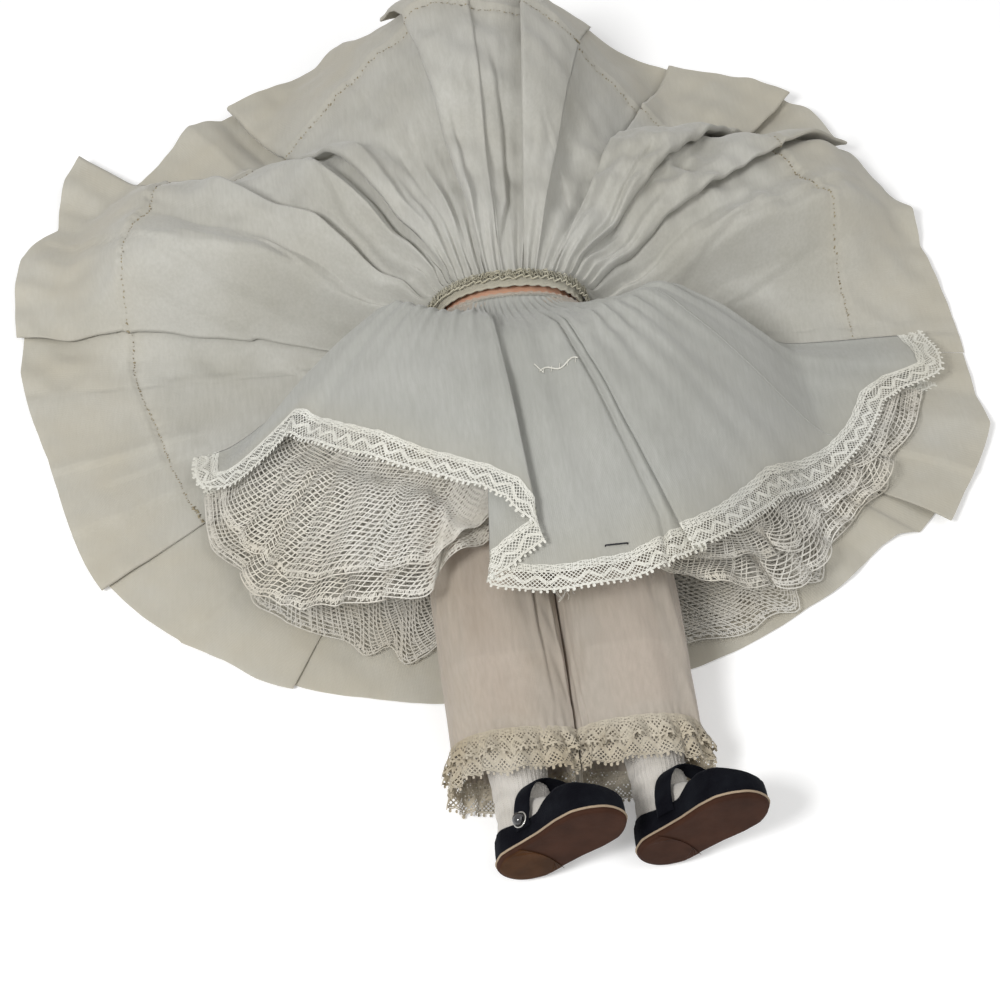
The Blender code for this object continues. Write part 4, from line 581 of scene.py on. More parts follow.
def skirt_grid():
    path = path_curve(SKIRT_PATH, SKIRT_COLS, soften=1.0)
    turn, reach, high = path[:, 0], path[:, 1], path[:, 2] * MM
    # The same share of the cloth goes to each part of the waist, in step with the plan angle
    even = mix(np.maximum.accumulate(turn), np.linspace(turn[0], turn[-1], SKIRT_COLS), 0.15)
    around = np.convolve(np.pad(even, 12, mode="edge"), np.ones(25) / 25, "valid")
    ring = waist_ring(np.radians(around), 0.0046, WAIST_Y)
    s = np.linspace(0, 1, SKIRT_ROWS)[:, None] ** ROW_GROWTH
    t = np.linspace(0, 1, SKIRT_COLS)[None]
    angle = np.radians(turn)[None]
    x = mix(ring[None, :, 0], SKIRT_RADIUS * reach[None] * np.cos(angle), s)
    y = mix(WAIST_Y, WAIST_Y + SKIRT_RADIUS * reach[None] * np.sin(angle), s)
    plan = np.degrees(np.arctan2(y - WAIST_Y, x)) % 360
    plan[0] = around % 360
    # Over the body, on the floor, and where one layer lies on another on the floor
    over = (y > WAIST_Y - 1e-9) & (plan <= 180.001)
    lifted = np.where(over, smooth(np.minimum(plan, 180 - plan) / SKIRT_RISE_TURN), 0)
    layered = (turn[None] > 197) & (turn[None] < 353)
    on_floor = 0.62 * np.where(layered, mix(0.30, 1.0, smooth((s - 0.80) / 0.14)) * smooth(s * 3),
                               smooth(s * 2.2))
    share = np.where(over, np.maximum(smooth(s * 5.5) * lifted, on_floor * 0.8), on_floor)
    fold = high[None] * share * (1 + 0.35 * bell(s - 0.42, 0.22) * over)
    # Fine gathers at the waist that open out
    wander = Waves(3, 0.22).at(t * 0.9, s * 0.25) * 1.6
    uneven = 1 + 0.45 * Waves(13, 0.05, 12).at(t * 1.2, 0.0)
    gather = np.cos(TAU * (74 * t + wander)) * 1.3 * MM * uneven * bell(s, 0.17, 1.3)
    gather = gather + (np.cos(TAU * (41 * t + wander * 0.8 + 0.3)) * 0.9 * MM * uneven
                       * smooth(s * 6) * bell(s, 0.30))
    # Slack between the pleats, in three sizes, and the pull of the hem's stitches
    slack = Waves(11, 0.020, 18).at(x, y) * MM * smooth(s * 2.4) * np.where(over, 1, 0.25)
    fine = Waves(17, 0.011, 26).at(t * 1.2, s * 0.030) * (0.6 + 0.6 * Waves(18, 0.06, 10).at(x, y))
    slack = slack + fine * 0.55 * MM * smooth(s * 4) * np.where(over, 1, 0.4)
    radial = Waves(5, 0.030, 16).at(t * 1.15, s * 0.03) * 1.3 * MM * smooth(s * 5) * (1 - 0.35 * s)
    radial = radial * np.where(over, np.maximum(lifted, 0.3), 0.12)
    seam = s - HEM_SHARE
    pucker = MM * (bell(seam, 0.020) * Waves(9, 0.006, 12).at(t * 1.2, s * 0) * 0.75
                   - 1.5 * bell(seam, 0.006) + 0.6 * bell(seam - 0.018, 0.010))
    hem_step = np.where(seam > 0, 0.55 * MM, 0) * np.where(over, 1, 0.3)
    calm = np.where(over, 1, np.where(layered, smooth((s - 0.80) / 0.1), 0.6))
    level = body_drape.at(x, y) * lifted + 0.0005
    z = mix(ring[None, :, 2], level, smooth(s * 9)) + fold
    z = z + np.maximum(gather, -0.6 * MM) * np.where(over, 1, 0.2)
    z = z + (slack + radial + pucker) * calm + hem_step
    pressed = crease_height(x, y) * smooth(s * 5)
    z = z + np.where(over, pressed, np.maximum(pressed, 0) * 0.8)
    # Crumpled cloth over the doll's left arm
    crumpled = bell(x - 0.062, 0.034) * bell(y - 0.098, 0.030)
    z = z + crumpled * Waves(21, 0.016, 20).at(x + y * 0.6, y - x * 0.5) * 2.6 * MM
    z = np.maximum(z, np.where(layered & ~over, 0.0004, 0.0006))
    wobble = Waves(8, 0.05, 12).at(t * 1.1, s * 0.05) * 0.6 * MM * s
    return np.stack([x + np.cos(angle) * wobble, y + np.sin(angle) * wobble, z], -1), s


skirt_points, skirt_s = skirt_grid()
skirt = sheet_of("skirt_cloth", skirt_points, "skirt")
# Warm ageing towards the hem, and a narrow band of painted shade along the puckered hem seam
age(skirt, np.broadcast_to(smooth((skirt_s - 0.60) / 0.30) * 0.78 + smooth(skirt_s * 3) * 0.10
                           + 0.12 * bell(skirt_s - 0.72, 0.02), skirt_points.shape[:2]))
skirt_surface = Surface(skirt_points)


def hem_stitches(count=430):
    """Short running stitches of the deep hem, none of them across a pleat."""
    lines = []
    rng = np.random.default_rng(4)
    for k in range(count):
        centre = (k + 0.5) / count
        half = 0.40 / count * rng.uniform(0.6, 1.15)
        v = HEM_SHARE ** (1 / ROW_GROWTH) + rng.uniform(-0.0035, 0.0035, 5) + 0.0035 * math.sin(centre * 37)
        line, _ = skirt_surface.at(np.linspace(centre - half, centre + half, 5), v,
                                   np.array([0.00, 0.42, 0.60, 0.42, 0.00]) * MM)
        if np.linalg.norm(line[-1] - line[0]) <= 0.006:
            lines.append((line, 0.40 * MM))
    return tubes("hem_stitches", lines, 5, "stitch")


def serging(start, out, width, count=120, height=0.0009):
    """A zigzag thread once round the gathered waist edge."""
    k = np.arange(count * 2 + 1)
    y = WAIST_Y - 0.0002
    inner = waist_ring(np.radians(mix(start, start + 360, k / (count * 2))), out - height / 2, y)
    away = inner - np.array([0, y, WAIST_MID])
    away[:, 1] = 0
    away /= np.linalg.norm(away, axis=1, keepdims=True)
    return inner + xyz(0, np.where(k % 2 == 0, -width / 2, width / 2), 0) + away * height


def waist_edging():
    lines = []
    rng = np.random.default_rng(15)
    for shift, width, lift in ((0.0, 3.4, 0.0), (0.7, 2.9, 0.3), (1.4, 3.1, 0.6)):
        line = serging(shift - 180, 0.0049 + lift * MM, width * MM)
        lines.append((line + rng.normal(0, 0.16 * MM, line.shape), 0.26 * MM))
    turn = np.radians(np.linspace(-180, 180, 260))
    wave = 0.0005 * np.sin(turn * 61) + 0.0003 * np.sin(turn * 23)
    for ahead in (-0.0016, 0.0004, 0.0017):
        lines.append((waist_ring(turn, 0.0052, WAIST_Y - 0.0006 + ahead)
                      + xyz(wave, wave * 0.5, wave), 0.30 * MM))
    return tubes("waist_edging", lines, 6, "edge")


def waist_band():
    """The bodice's lining band that shows inside the waist edge."""
    turn = np.radians(np.linspace(-180, 180, 181))
    return sheet_of("waist_band", [
        waist_ring(turn, out, y) + (0.00018 * np.sin(turn * 43 + y * 900))[:, None]
        for y, out in ((0.0475, 0.0042), (0.0462, 0.0043), (0.0446, 0.0036), (0.0430, 0.0033),
                       (0.0414, 0.0034), (0.0404, 0.0035), (0.0401, 0.0031), (0.0406, 0.0027),
                       (0.0440, 0.0015))], "outer")


stitches, edging, band = hem_stitches(), waist_edging(), waist_band()
for piece, node in ((skirt, "dress_skirt"), (stitches, None), (edging, "waist_edge"), (band, None)):
    fit(piece, "torso", node)


# ---- cloth that crosses the hips, cut into a left half and a right half ----
BEND_START_Y, BEND_END_Y = 0.018, -0.012
MIDDLE_STILL, MIDDLE_TURN = 0.0016, 0.0075


def leg_share(points):
    wide = smooth((np.abs(points[:, 0]) - MIDDLE_STILL) / MIDDLE_TURN)
    return wide * smooth((BEND_START_Y - points[:, 1]) / (BEND_START_Y - BEND_END_Y))


def read_out(items, key, width, kind=np.float32):
    values = np.zeros(len(items) * width, kind)
    items.foreach_get(key, values)
    return values


def by_sides(obj, node=None, share=leg_share):
    """Two objects, left and right, from one."""
    mesh = obj.data
    size = len(mesh.polygons[0].vertices)
    points = read_out(mesh.vertices, "co", 3).reshape(-1, 3)
    faces = read_out(mesh.loops, "vertex_index", 1, np.int32).reshape(-1, size)
    uv = read_out(mesh.uv_layers[0].data, "uv", 2).reshape(-1, size, 2) if mesh.uv_layers else None
    middle = points[faces].mean(1)[:, 0]
    halves = []
    for side, pick in (("left", middle > 0), ("right", middle <= 0)):
        if not pick.any():
            continue
        used = np.unique(faces[pick])
        index = np.zeros(len(points), np.int32)
        index[used] = np.arange(len(used))
        half = make_object(side + "_" + obj.name, points[used], index[faces[pick]])
        if uv is not None:
            half.data.uv_layers.new(name="cloth").data.foreach_set("uv", uv[pick].ravel())
        half.data.materials.append(mesh.materials[0])
        if "age" in mesh.attributes:
            age(half, read_out(mesh.attributes["age"].data, "value", 1)[used])
        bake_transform(half)
        share(points[used]).astype(np.float32)
        fit(half, None, node)
        halves.append(half)
    bpy.data.objects.remove(obj)
    return halves


# ---- petticoat: a flattened tube, its front fan over the legs and its back fan under them ----
PETTI_RADIUS, PETTI_RING_Y, PETTI_OUT = 0.1400, 0.0352, 0.0034
PETTI_FRONT_COLS, PETTI_BACK_COLS, PETTI_ROWS = 420, 90, 84
# Plan angle in degrees, share of the radius and height of fold in mm, as for the skirt
PETTI_PATH = (
    (-4, 1.12, .5), (-8, 1.15, 1.2), (-11, 1.16, 1.6), (-14, 1.06, 1.0), (-18, 1.0, .8),
    (-25, .985, 2.0), (-33, .955, 3.0), (-42, .925, 2.0), (-50, .91, 1.2), (-58, .94, 2.2),
    (-66, .985, 3.0), (-70, 1.0, 3.4), (-72.2, 1.0, 2.8), (-72.0, 1.0, 1.8), (-69.5, 1.0, 1.0),
    (-69.6, 1.0, .6), (-73, 1.005, .4), (-80, 1.03, .8), (-86, 1.035, 1.2), (-93, 1.03, .8),
    (-98, 1.02, .8), (-99.5, 1.0, 1.4), (-96.5, .95, 2.0), (-92.8, .91, 2.8), (-92.4, .86, 4.4),
    (-95, .80, 5.4), (-100, .765, 5.2), (-106, .745, 4.2), (-111, .735, 3.4), (-118, .72, 3.2),
    (-124, .71, 4.2), (-130, .705, 3.4), (-138, .70, 2.4), (-145, .70, 2.6), (-149, .71, 2.2),
    (-153, .86, 1.6), (-155, .92, 1.2), (-158, .90, .8), (-161, .88, .4),
)
PETTI_BACK = ((-4, 1.12), (-11, 1.16), (-16, 1.00), (-48, 0.91), (-67, 0.99), (-84, 1.035),
              (-97, 1.02), (-101, 0.86), (-111, 0.74), (-130, 0.71), (-149, 0.71),
              (-155, 0.90), (-163, 0.90))
# Height of each layer above the legs in front, and above the floor behind
PETTI_RISE, PETTI_SINK = 0.0056, 0.0018
UPPER_RISE, UPPER_SINK = 0.0029, 0.0029
LOWER_RISE, LOWER_SINK = 0.0006, 0.0039
FRONT_BASE = 0.0042

leg_drape = Drape(["left_leg", "right_leg", "left_pantalette_leg", "right_pantalette_leg",
                   "left_cuff_lace", "right_cuff_lace", "pantalette_top"], high_y=0.0375,
                  spread=0.012, soften=26, slope=0.72, cell=0.0025)


def front_top(x, y, rise, extra):
    """Height of cloth that lies over the legs, rise and extra measured square to the slope."""
    e = leg_drape.cell
    slope_x, slope_y = ((leg_drape.at(x + dx, y + dy) - leg_drape.at(x - dx, y - dy)) / (2 * e)
                        for dx, dy in ((e, 0), (0, e)))
    high = leg_drape.at(x, y)
    room = 1 + 1.2 * smooth(high / HIP_Z)
    return np.maximum(high, FRONT_BASE) + (rise * room + extra) * np.sqrt(1 + slope_x ** 2 + slope_y ** 2)


def round_and_back(front_count, back_count):
    """Which columns are the front's, and each column's share from left to right."""
    k = np.arange(front_count + back_count)
    front = k < front_count
    return front, np.where(front, k / (front_count - 1), 1 - (k - front_count + 1) / (back_count + 1))


def close_at_sides(top, sink, front, t, narrow):
    """Front cloth at its height, back cloth near the floor, and both half way where they meet."""
    near = smooth(np.minimum(t, 1 - t)[None] * narrow)
    return mix((top + sink) / 2, np.where(front[None], top, sink), near)


def hem_outward(x, y, turn):
    """The plan direction square to a hem, away from the cloth."""
    along = np.stack([np.gradient(x), np.gradient(y)])
    away = np.stack([-along[1], along[0]]) * -np.sign(np.gradient(turn))
    radial = np.stack([np.cos(np.radians(turn)), np.sin(np.radians(turn))])
    away = away / np.maximum(np.hypot(*away), 1e-9)
    away = np.where((away * radial).sum(0) < -0.25, -away, away) + 0.12 * radial
    kernel = np.hanning(15) / np.hanning(15).sum()
    away = np.stack([np.convolve(np.pad(row, 7, mode="edge"), kernel, "valid") for row in away])
    return away / np.maximum(np.hypot(*away), 1e-9)


def petticoat_grid(low=0.0, high=1.0, rows=PETTI_ROWS, lift=0.0, past=0.0):
    """Rows run from share low to share high; past is a length beyond the hem for its lace."""
    path = path_curve([(-r[0], r[1], r[2]) for r in PETTI_PATH], PETTI_FRONT_COLS, soften=0.9)
    trend = np.maximum.accumulate(path[:, 0])
    lined = mix(trend, np.linspace(trend[0], trend[-1], PETTI_FRONT_COLS), 0.2)
    back = np.linspace(0, 1, PETTI_BACK_COLS + 2)[1:-1]
    back_turn = mix(PETTI_PATH[-1][0], PETTI_PATH[0][0], back)
    turn = np.concatenate([-path[:, 0], back_turn])
    reach = np.concatenate([path[:, 1], table(PETTI_BACK[::-1], back_turn)])
    fold = np.concatenate([path[:, 2] * MM, np.zeros(PETTI_BACK_COLS)])
    ring_turn = np.concatenate([(lined - lined[0]) / (lined[-1] - lined[0]) * 0.5, 0.5 + back * 0.5]) * TAU
    front, t = round_and_back(PETTI_FRONT_COLS, PETTI_BACK_COLS)
    s = np.linspace(low, high, rows)[:, None]
    angle = np.radians(turn)
    hem_x, hem_y = PETTI_RADIUS * reach * np.cos(angle), WAIST_Y + PETTI_RADIUS * reach * np.sin(angle)
    ring = waist_ring(ring_turn, PETTI_OUT, PETTI_RING_Y)
    out_x, out_y = hem_outward(hem_x, hem_y, turn)
    beyond = past * np.maximum(s - 1, 0) / max(high - 1, 1e-9)
    x = mix(ring[None, :, 0], hem_x[None], np.minimum(s, 1)) + out_x * beyond
    y = mix(PETTI_RING_Y, hem_y[None], np.minimum(s, 1)) + out_y * beyond
    gather = np.cos(TAU * 46 * ring_turn / math.pi + 2.2 * np.sin(ring_turn * 7))[None]
    gather = gather * 0.75 * MM * bell(s, 0.17, 1.4) * (0.15 + 0.85 * smooth(s * 14))
    soft = Waves(31, 0.030, 16).at(x, y) * 0.7 + Waves(33, 0.055, 12).at(t[None] * 1.1, s * 0.04) * 1.1
    soft = soft * MM * smooth(s * 3) * 0.8
    pleat = np.cos(TAU * 19 * ring_turn / math.pi + 2.6 * np.sin(ring_turn * 5 + 1))[None]
    soft = soft + pleat * 0.9 * MM * smooth(s * 6) * bell(s, 0.42)
    crumple = bell(x - 0.028, 0.022) * bell(y - 0.012, 0.026)
    soft = soft + crumple * Waves(35, 0.012, 16).at(x, y) * MM
    top = front_top(x, y, PETTI_RISE, fold[None] * smooth(s * 1.5) + soft + lift)
    # The crease from the crumple at the waist down to the hem
    way = np.clip((0.030 - y) / 0.112, 0, 1)
    beside = x - (0.004 + 0.033 * way ** 0.8)
    top = top + (0.7 * bell(beside - 0.0022, 0.0016) - 2.0 * bell(beside, 0.0009)) * MM * smooth(way * 6)
    z = close_at_sides(top, PETTI_SINK, front, t, 24)
    z = mix(ring[None, :, 2], z, smooth(s * 3.6)) + gather * np.where(front[None], 1, 0.2)
    return np.stack([x, y, z], -1)


petti_points = petticoat_grid()
petticoat = sheet_of("petticoat_cloth", petti_points, "petti", closed=True)
share_down = np.broadcast_to(np.linspace(0, 1, PETTI_ROWS)[:, None], petti_points.shape[:2])
age(petticoat, smooth((share_down - 0.82) / 0.25) * 0.5)
petti_halves = by_sides(petticoat, "petticoat")

# A close zigzag binds the petticoat's gathered waist
zigzag = waist_ring(np.linspace(0, TAU, 901), PETTI_OUT + 0.3 * MM, PETTI_RING_Y)
zigzag[:, 1] += np.where(np.arange(901) % 2 == 0, 0.5 * MM, -0.9 * MM)
petti_binding = tubes("petticoat_binding", [(zigzag, 0.20 * MM)], 5, "lace")

# The rows past the hem on which its lace lies
LACE_WIDTH = 0.0085
lace_points = petticoat_grid(0.985, 1.0 + LACE_WIDTH / 0.12, 14, 0.25 * MM, LACE_WIDTH)


def lace_pattern(grid, line, width, pitch, repeat=8.0, thin=0.15, thick=0.17, seed=1, edge=0.86):
    """Lace on a grid: a dense header, diamond ground, a woven trail, an edge and picots. It is as
    long as the line; width and pitch are in metres, the repeat and the threads in millimetres."""
    surface = Surface(grid)
    length = run_along(line)[-1]
    lines = []
    count = max(5, int(length / (repeat * MM)))
    rng = np.random.default_rng(seed)
    drift = Waves(seed + 2, 0.05, 12)

    def place(along, down, half, off=0.0):
        u = surface.evenly(np.clip(along, 0, 1))
        lines.append((*surface.at(u, down, off * MM), half * MM))

    along = np.linspace(0, 1, count * 18)
    uneven = drift.at(along * length * 2, 0.0) * 0.5
    wave = np.sin(TAU * along * count + uneven * 2)
    trail = 0.50 + 0.11 * wave + 0.03 * uneven
    # Header: close rows of thread, crossed by short stitches
    for k in range(7):
        sway = 0.020 * np.sin(along * length / 0.0011 + k * 2.1) + 0.022 * uneven
        place(along, 0.01 + 0.042 * k + sway, 0.17, 0.04)
    for k in range(int(length / (0.9 * MM))):
        at = (k + rng.uniform(-0.3, 0.3)) * 0.9 * MM / length
        lean = rng.uniform(-0.5, 0.9) * MM / length
        place(at + lean * np.array([0, 0.5, 1]), np.array([-0.01, 0.13, 0.27]), 0.17, 0.10)
    # The woven trail: threads side by side, laced across
    for k in range(3):
        place(along, trail + 0.044 * k, thick, 0.04)
    for k in range(int(length / (1.0 * MM))):
        at = (k + rng.uniform(-0.2, 0.2)) * MM / length
        place(at + np.array([0, 0.4 * MM / length]), np.interp(at, along, trail) + np.array([-0.02, 0.11]),
              0.12, 0.08)
    # Diamond ground on both slants
    cells = max(6, int(length / pitch))
    for lean in (1, -1):
        for k in range(-2, cells + 3):
            line = k / cells + np.linspace(0, 1, 7) * width * 0.62 / length * lean
            keep = (line >= 0) & (line <= 1)
            if keep.sum() > 2:
                place(line[keep], np.linspace(0.22, edge, 7)[keep], thin, -0.02)
    for k in range(2):
        place(along, edge - 0.02 + 0.045 * k + 0.014 * np.sin(TAU * along * count * 3), 0.20, 0.06)
    # Picots: a bead of thread at the end of each loop
    step = 2.1 * MM / length
    turn = np.linspace(0, TAU, 8)
    for k in range(int(1 / step)):
        at = (k + 0.5 + rng.uniform(-0.15, 0.15)) * step
        size = rng.uniform(0.34, 0.50)
        down = edge + 0.10 + rng.uniform(-0.01, 0.012)
        place(at + size * 0.55 * MM / length * np.cos(turn), down + size * MM / width * np.sin(turn),
              size * 0.62, 0.10)
    return lines


petti_lace = ribbons("petticoat_lace_edge", lace_pattern(lace_points, lace_points[1], LACE_WIDTH + 0.0020,
                                                           1.5 * MM), "lace")
petti_lace_halves = by_sides(petti_lace, "petticoat_lace")


# ---- net flounces of knotted thread ----
NET_SHARES = ((-4, 0.97), (-14, 1.02), (-30, 1.0), (-45, 0.98), (-60, 1.03), (-72, 0.98),
              (-80, 0.80), (-100, 0.78), (-108, 0.95), (-128, 0.98), (-145, 0.92), (-157, 0.82),
              (-163, 0.80))
NET_RADIUS = 0.1600
NET_PITCH = 1.95 * MM


def net_grid(rise, sink, turn_in, low, high, seed, rows=40, front_cols=300, back_cols=160):
    ends = -7 - turn_in, -161 + turn_in
    turns = np.concatenate([np.linspace(*ends, front_cols),
                            np.linspace(*ends[::-1], back_cols + 2)[1:-1]])
    front, t = round_and_back(front_cols, back_cols)
    s = np.linspace(low, high, rows)[:, None]
    reach = NET_RADIUS * table(NET_SHARES[::-1], turns)[None]
    hidden = PETTI_RADIUS * table(PETTI_BACK[::-1], turns)[None] + 0.002
    free = smooth((reach * s - hidden) / 0.016) * smooth(np.minimum(t, 1 - t)[None] * 7)
    phase = np.random.default_rng(seed).uniform(0, TAU, 4)
    beat = TAU * t * 13 + phase[0] + 2.3 * np.sin(TAU * t * 3 + phase[1]) + 1.1 * np.sin(TAU * t * 7)
    size = (0.62 + 0.38 * np.sin(TAU * t * 5 + phase[3]))[None]
    ruffle = np.sin(beat)[None] * size
    second = np.sin(TAU * t * 29 + phase[2] + s * 3.5 + 1.4 * np.sin(TAU * t * 6))
    plan = np.radians(turns[None]) + free * np.cos(beat)[None] * size * 0.030 * front[None]
    radius = reach * s * (1 - free * (0.5 - 0.5 * ruffle) * 0.045)
    x, y = radius * np.cos(plan), WAIST_Y + radius * np.sin(plan)
    stand = free * ((ruffle * 0.5 + 0.5) * 6.2 + (second * 0.5 + 0.5) * 2.0) * MM
    top = front_top(x, y, rise, stand + Waves(seed + 7, 0.012, 12).at(x, y) * 0.45 * MM)
    return np.stack([x, y, close_at_sides(top, sink, front, t, 20)], -1)


def net_lines(grid, half, seed):
    """The threads of a square mesh laid on the cloth, ragged at the edge."""
    surface = Surface(np.concatenate([grid, grid[:, :1]], 1))
    width = run_along(surface.grid[len(grid) * 2 // 3])[-1]
    height = run_along(grid[:, 40])[-1]
    count, climbs = int(width / NET_PITCH), max(2, int(round(height / NET_PITCH)))
    rng = np.random.default_rng(seed)
    lines = []

    def place(along, down, off, half, cut=False):
        points, normals = surface.at(surface.evenly(along, 0.66), down, off)
        jump = np.linalg.norm(np.diff(points, axis=0), axis=1) > NET_PITCH * 3
        cuts = [0, *(np.nonzero(jump & cut)[0] + 1), len(points)]
        lines.extend((points[a:b], normals[a:b], half) for a, b in zip(cuts[:-1], cuts[1:]) if b - a > 2)

    # Threads down the cloth, cut where they run off one side and on at the other
    v = np.linspace(0, 1, climbs * 3 + 1)
    for k in range(count):
        ragged = 1 - 0.035 * rng.random()
        share = k / count + 0.45 * height / width * v + 0.0006 * np.sin(v * 9 + k * 0.09)
        place(share % 1.0, v * ragged, 0.0, half, cut=True)
    # Threads along it, and loose loops at its edge
    u = np.linspace(0, 1, count * 2)
    drift = Waves(seed + 5, 0.16, 10).at(u * 1.3, 0.0) * 1.1
    for k in range(climbs + 1):
        down = (k + 0.1 + drift * smooth(k / 3) * smooth((climbs - k) / 3)) / (climbs + 0.4)
        place(u, np.clip(down, 0, 1), 0.14 * MM, half)
    bow = np.linspace(-1, 1, 5)
    for k in range(count * 2):
        share = (k + rng.random()) / (count * 2)
        around = np.clip(share + bow * 0.22 / count * rng.uniform(0.6, 1.6), 0, 1)
        place(around, 0.962 + rng.uniform(0.008, 0.034) * (1 - bow ** 2), 0.1 * MM, half * 0.8)
    return lines, height


net_pieces = {}
for name, setting in (("net_upper", (UPPER_RISE, UPPER_SINK, 3.4, 0.42, 0.95, 3)),
                      ("net_lower", (LOWER_RISE, LOWER_SINK, 6.8, 0.42, 1.00, 8))):
    lines, net_height = net_lines(net_grid(*setting), 0.23 * MM, setting[-1])
    net_pieces[name] = by_sides(ribbons(name + "_threads", lines, "net"), name), net_height


# ---- pantalettes: sheer cotton legs with soft creases, and gathered lace cuffs ----
# Share of the way from hip to ankle: how far the middle drops, half width and depth
LEG_LINE = ((0.06, .00, .98, 1.00), (0.17, .04, 1.02, 1.00), (0.30, .12, 1.0, .93),
            (0.45, .22, .93, .82), (0.58, .30, .80, .68), (0.70, .42, .90, .74),
            (0.82, .66, .76, .62), (0.93, .92, .60, .50), (1.0, 1.0, .58, .47))
PANTS_SPLIT_Y, PANTS_HEM_Y, ANKLE_Y = -0.0260, -0.1480, -0.1690
ANKLE_Z, ANKLE_OUT = 0.0125, 0.003
LEG_X, PANTS_HALF, THIGH_DEPTH = 0.0230, 0.0205, 0.0172


def leg_shape(way):
    """Lean to the side, height of the middle and depth of the leg at a share of its length."""
    return (smooth((way - 0.4) / 0.6), mix(HIP_Z, ANKLE_Z, table(LEG_LINE, way)),
            table(LEG_LINE, way, 3) * THIGH_DEPTH)


def pants_ring(share, side, turn, grow=0.0, fold=0.0):
    """A ring of one pantalette leg at a share of its length; turn in radians."""
    y = mix(PANTS_SPLIT_Y, PANTS_HEM_Y, share)
    lean, mid, deep = leg_shape(np.clip(y / ANKLE_Y, 0, 1))
    inside = -np.cos(turn) * side
    inner = np.where(inside > 0, (0.0012 + 0.0030 * share) * smooth(inside * 3), 0)
    wide = PANTS_HALF * mix(1.0, 0.96, share) + grow + fold + inner
    x = side * (LEG_X - 0.0004) + ANKLE_OUT * lean * 0.15 + wide * power(np.cos(turn), 0.9)
    # Between the legs the cloth stands square, so that the two nearly meet
    deep = deep + 0.0029 + grow + 0.0015 * share + fold
    z = mid + deep * power(np.sin(turn), np.where(inside > 0, 0.50, 0.9))
    low = 0.0004 + (0.0047 if y > -0.11 else 0.0006)
    return xyz(side * np.maximum(side * x, 0.0003), y, np.maximum(z, low))


def pants_leg(name, side, cols=220, count=150):
    turn = circle(cols)
    seed = 41 if side > 0 else 57
    long_waves = Waves(seed, 0.35, 10, stretch=0.25)
    cross = Waves(seed + 1, 0.30, 12, stretch=2.0)
    # Long creases down the front: where, how deep in mm, how they wander and how wide they are
    inner = math.pi / 2 + side * 0.75
    creases = ((inner, 1.0, 0.16, 0.045), (inner + side * 0.34, 0.8, -0.2, 0.035),
               (math.pi / 2 - side * 0.6, 0.55, 0.3, 0.08))
    rows = []
    for share in np.linspace(0, 1, count):
        lean = turn + 0.5 * share
        crease = MM * (long_waves.at(np.cos(lean) * 0.6, np.sin(lean) * 0.6 + share * 0.25) * 0.8
                       + cross.at(np.cos(turn) * 0.35, share * 0.8 + np.sin(turn) * 0.35) * 0.35)
        for spot, deep, wander, thin in creases:
            at = turn - (spot + wander * (share - 0.4) + 0.06 * math.sin(share * 9 + spot * 3))
            fade = smooth(share * 4) * (0.55 + 0.45 * math.sin(share * 7 + spot * 5))
            crease = crease + deep * MM * fade * (0.9 * bell(at - thin * 2, thin * 1.6) - bell(at, thin))
        gather = np.cos(turn * 34 + 1.5 * np.sin(turn * 5)) * 0.30 * MM * bell(1 - share, 0.05)
        rows.append(pants_ring(share, side, turn, 0.0, crease * smooth(share * 5 + 0.15) + gather))
    return sheet_of(name + "_pantalette_cloth", rows, "pants", closed=True)


def pants_top(waist_y=0.0375, hip_y=0.0190):
    turn = circle(200)
    rows = []
    for y in np.linspace(waist_y, PANTS_SPLIT_Y, 60):
        wide = smooth((waist_y - y) / (waist_y - hip_y))
        half, deep, mid, square = (
            mix(at_waist, at_hip, wide) for at_waist, at_hip in
            ((table(((0.0189, 0.033), (0.045, 0.026)), max(y, hip_y)) + 0.0022, 0.0431),
             (table(((0.0189, 0.0185), (0.045, 0.0178)), max(y, hip_y)) + 0.0022, 0.02085),
             (0.0257, 0.0264), (2.3, 4.6)))
        swell = (1 + 0.012 * np.cos(turn * 9) * wide) * (1 + 0.016 * np.cos(turn * 60)
                                                         * bell(waist_y - y, 0.006))
        rows.append(xyz(half * power(np.cos(turn), 2 / square) * swell, y,
                        mid + deep * power(np.sin(turn), 2 / square) * swell))
    return sheet_of("pantalette_top_cloth", rows, "pants", closed=True)


def cuff_surface(side, low, high, rows, ruffles, height, seed):
    """The gathered cuff; low and high are lengths before and past the leg's hem."""
    turn = np.linspace(0, TAU, 420)
    phase = np.random.default_rng(seed).uniform(0, TAU, 3)
    wave = height * (np.sin(turn * ruffles + phase[0] + 0.8 * np.sin(turn * 3 + phase[1]))
                     + 0.35 * np.sin(turn * ruffles * 2 + phase[2]))
    grid = []
    for out in np.linspace(0, 1, rows):
        share = 1 + mix(low, high, out) / (PANTS_SPLIT_Y - PANTS_HEM_Y)
        ring = pants_ring(share, side, turn, 0.0024 * out, wave * smooth(out * 1.2))
        ring[:, 1] += 0.0006 * np.sin(turn * ruffles * 0.5 + phase[1]) * out
        grid.append(ring)
    return np.stack(grid)


def cuff_lace(name, side):
    """Two tiers of lace, the upper one shorter and lifted off the lower one."""
    down = cuff_surface(side, -0.0010, 0.0118, 12, 13, 1.3 * MM, 61 + side)
    over = cuff_surface(side, -0.0036, 0.0052, 8, 17, 1.5 * MM, 71 + side)
    return ribbons(name + "_cuff_edge",
                   lace_pattern(down, down[8], 0.0118, 1.5 * MM, 6.0, 0.24, 0.26, 11 + side)
                   + lace_pattern(over + grid_normals(over) * 0.6 * MM, over[6], 0.0088, 1.6 * MM, 5.0,
                                  0.22, 0.24, 21 + side), "cuff")


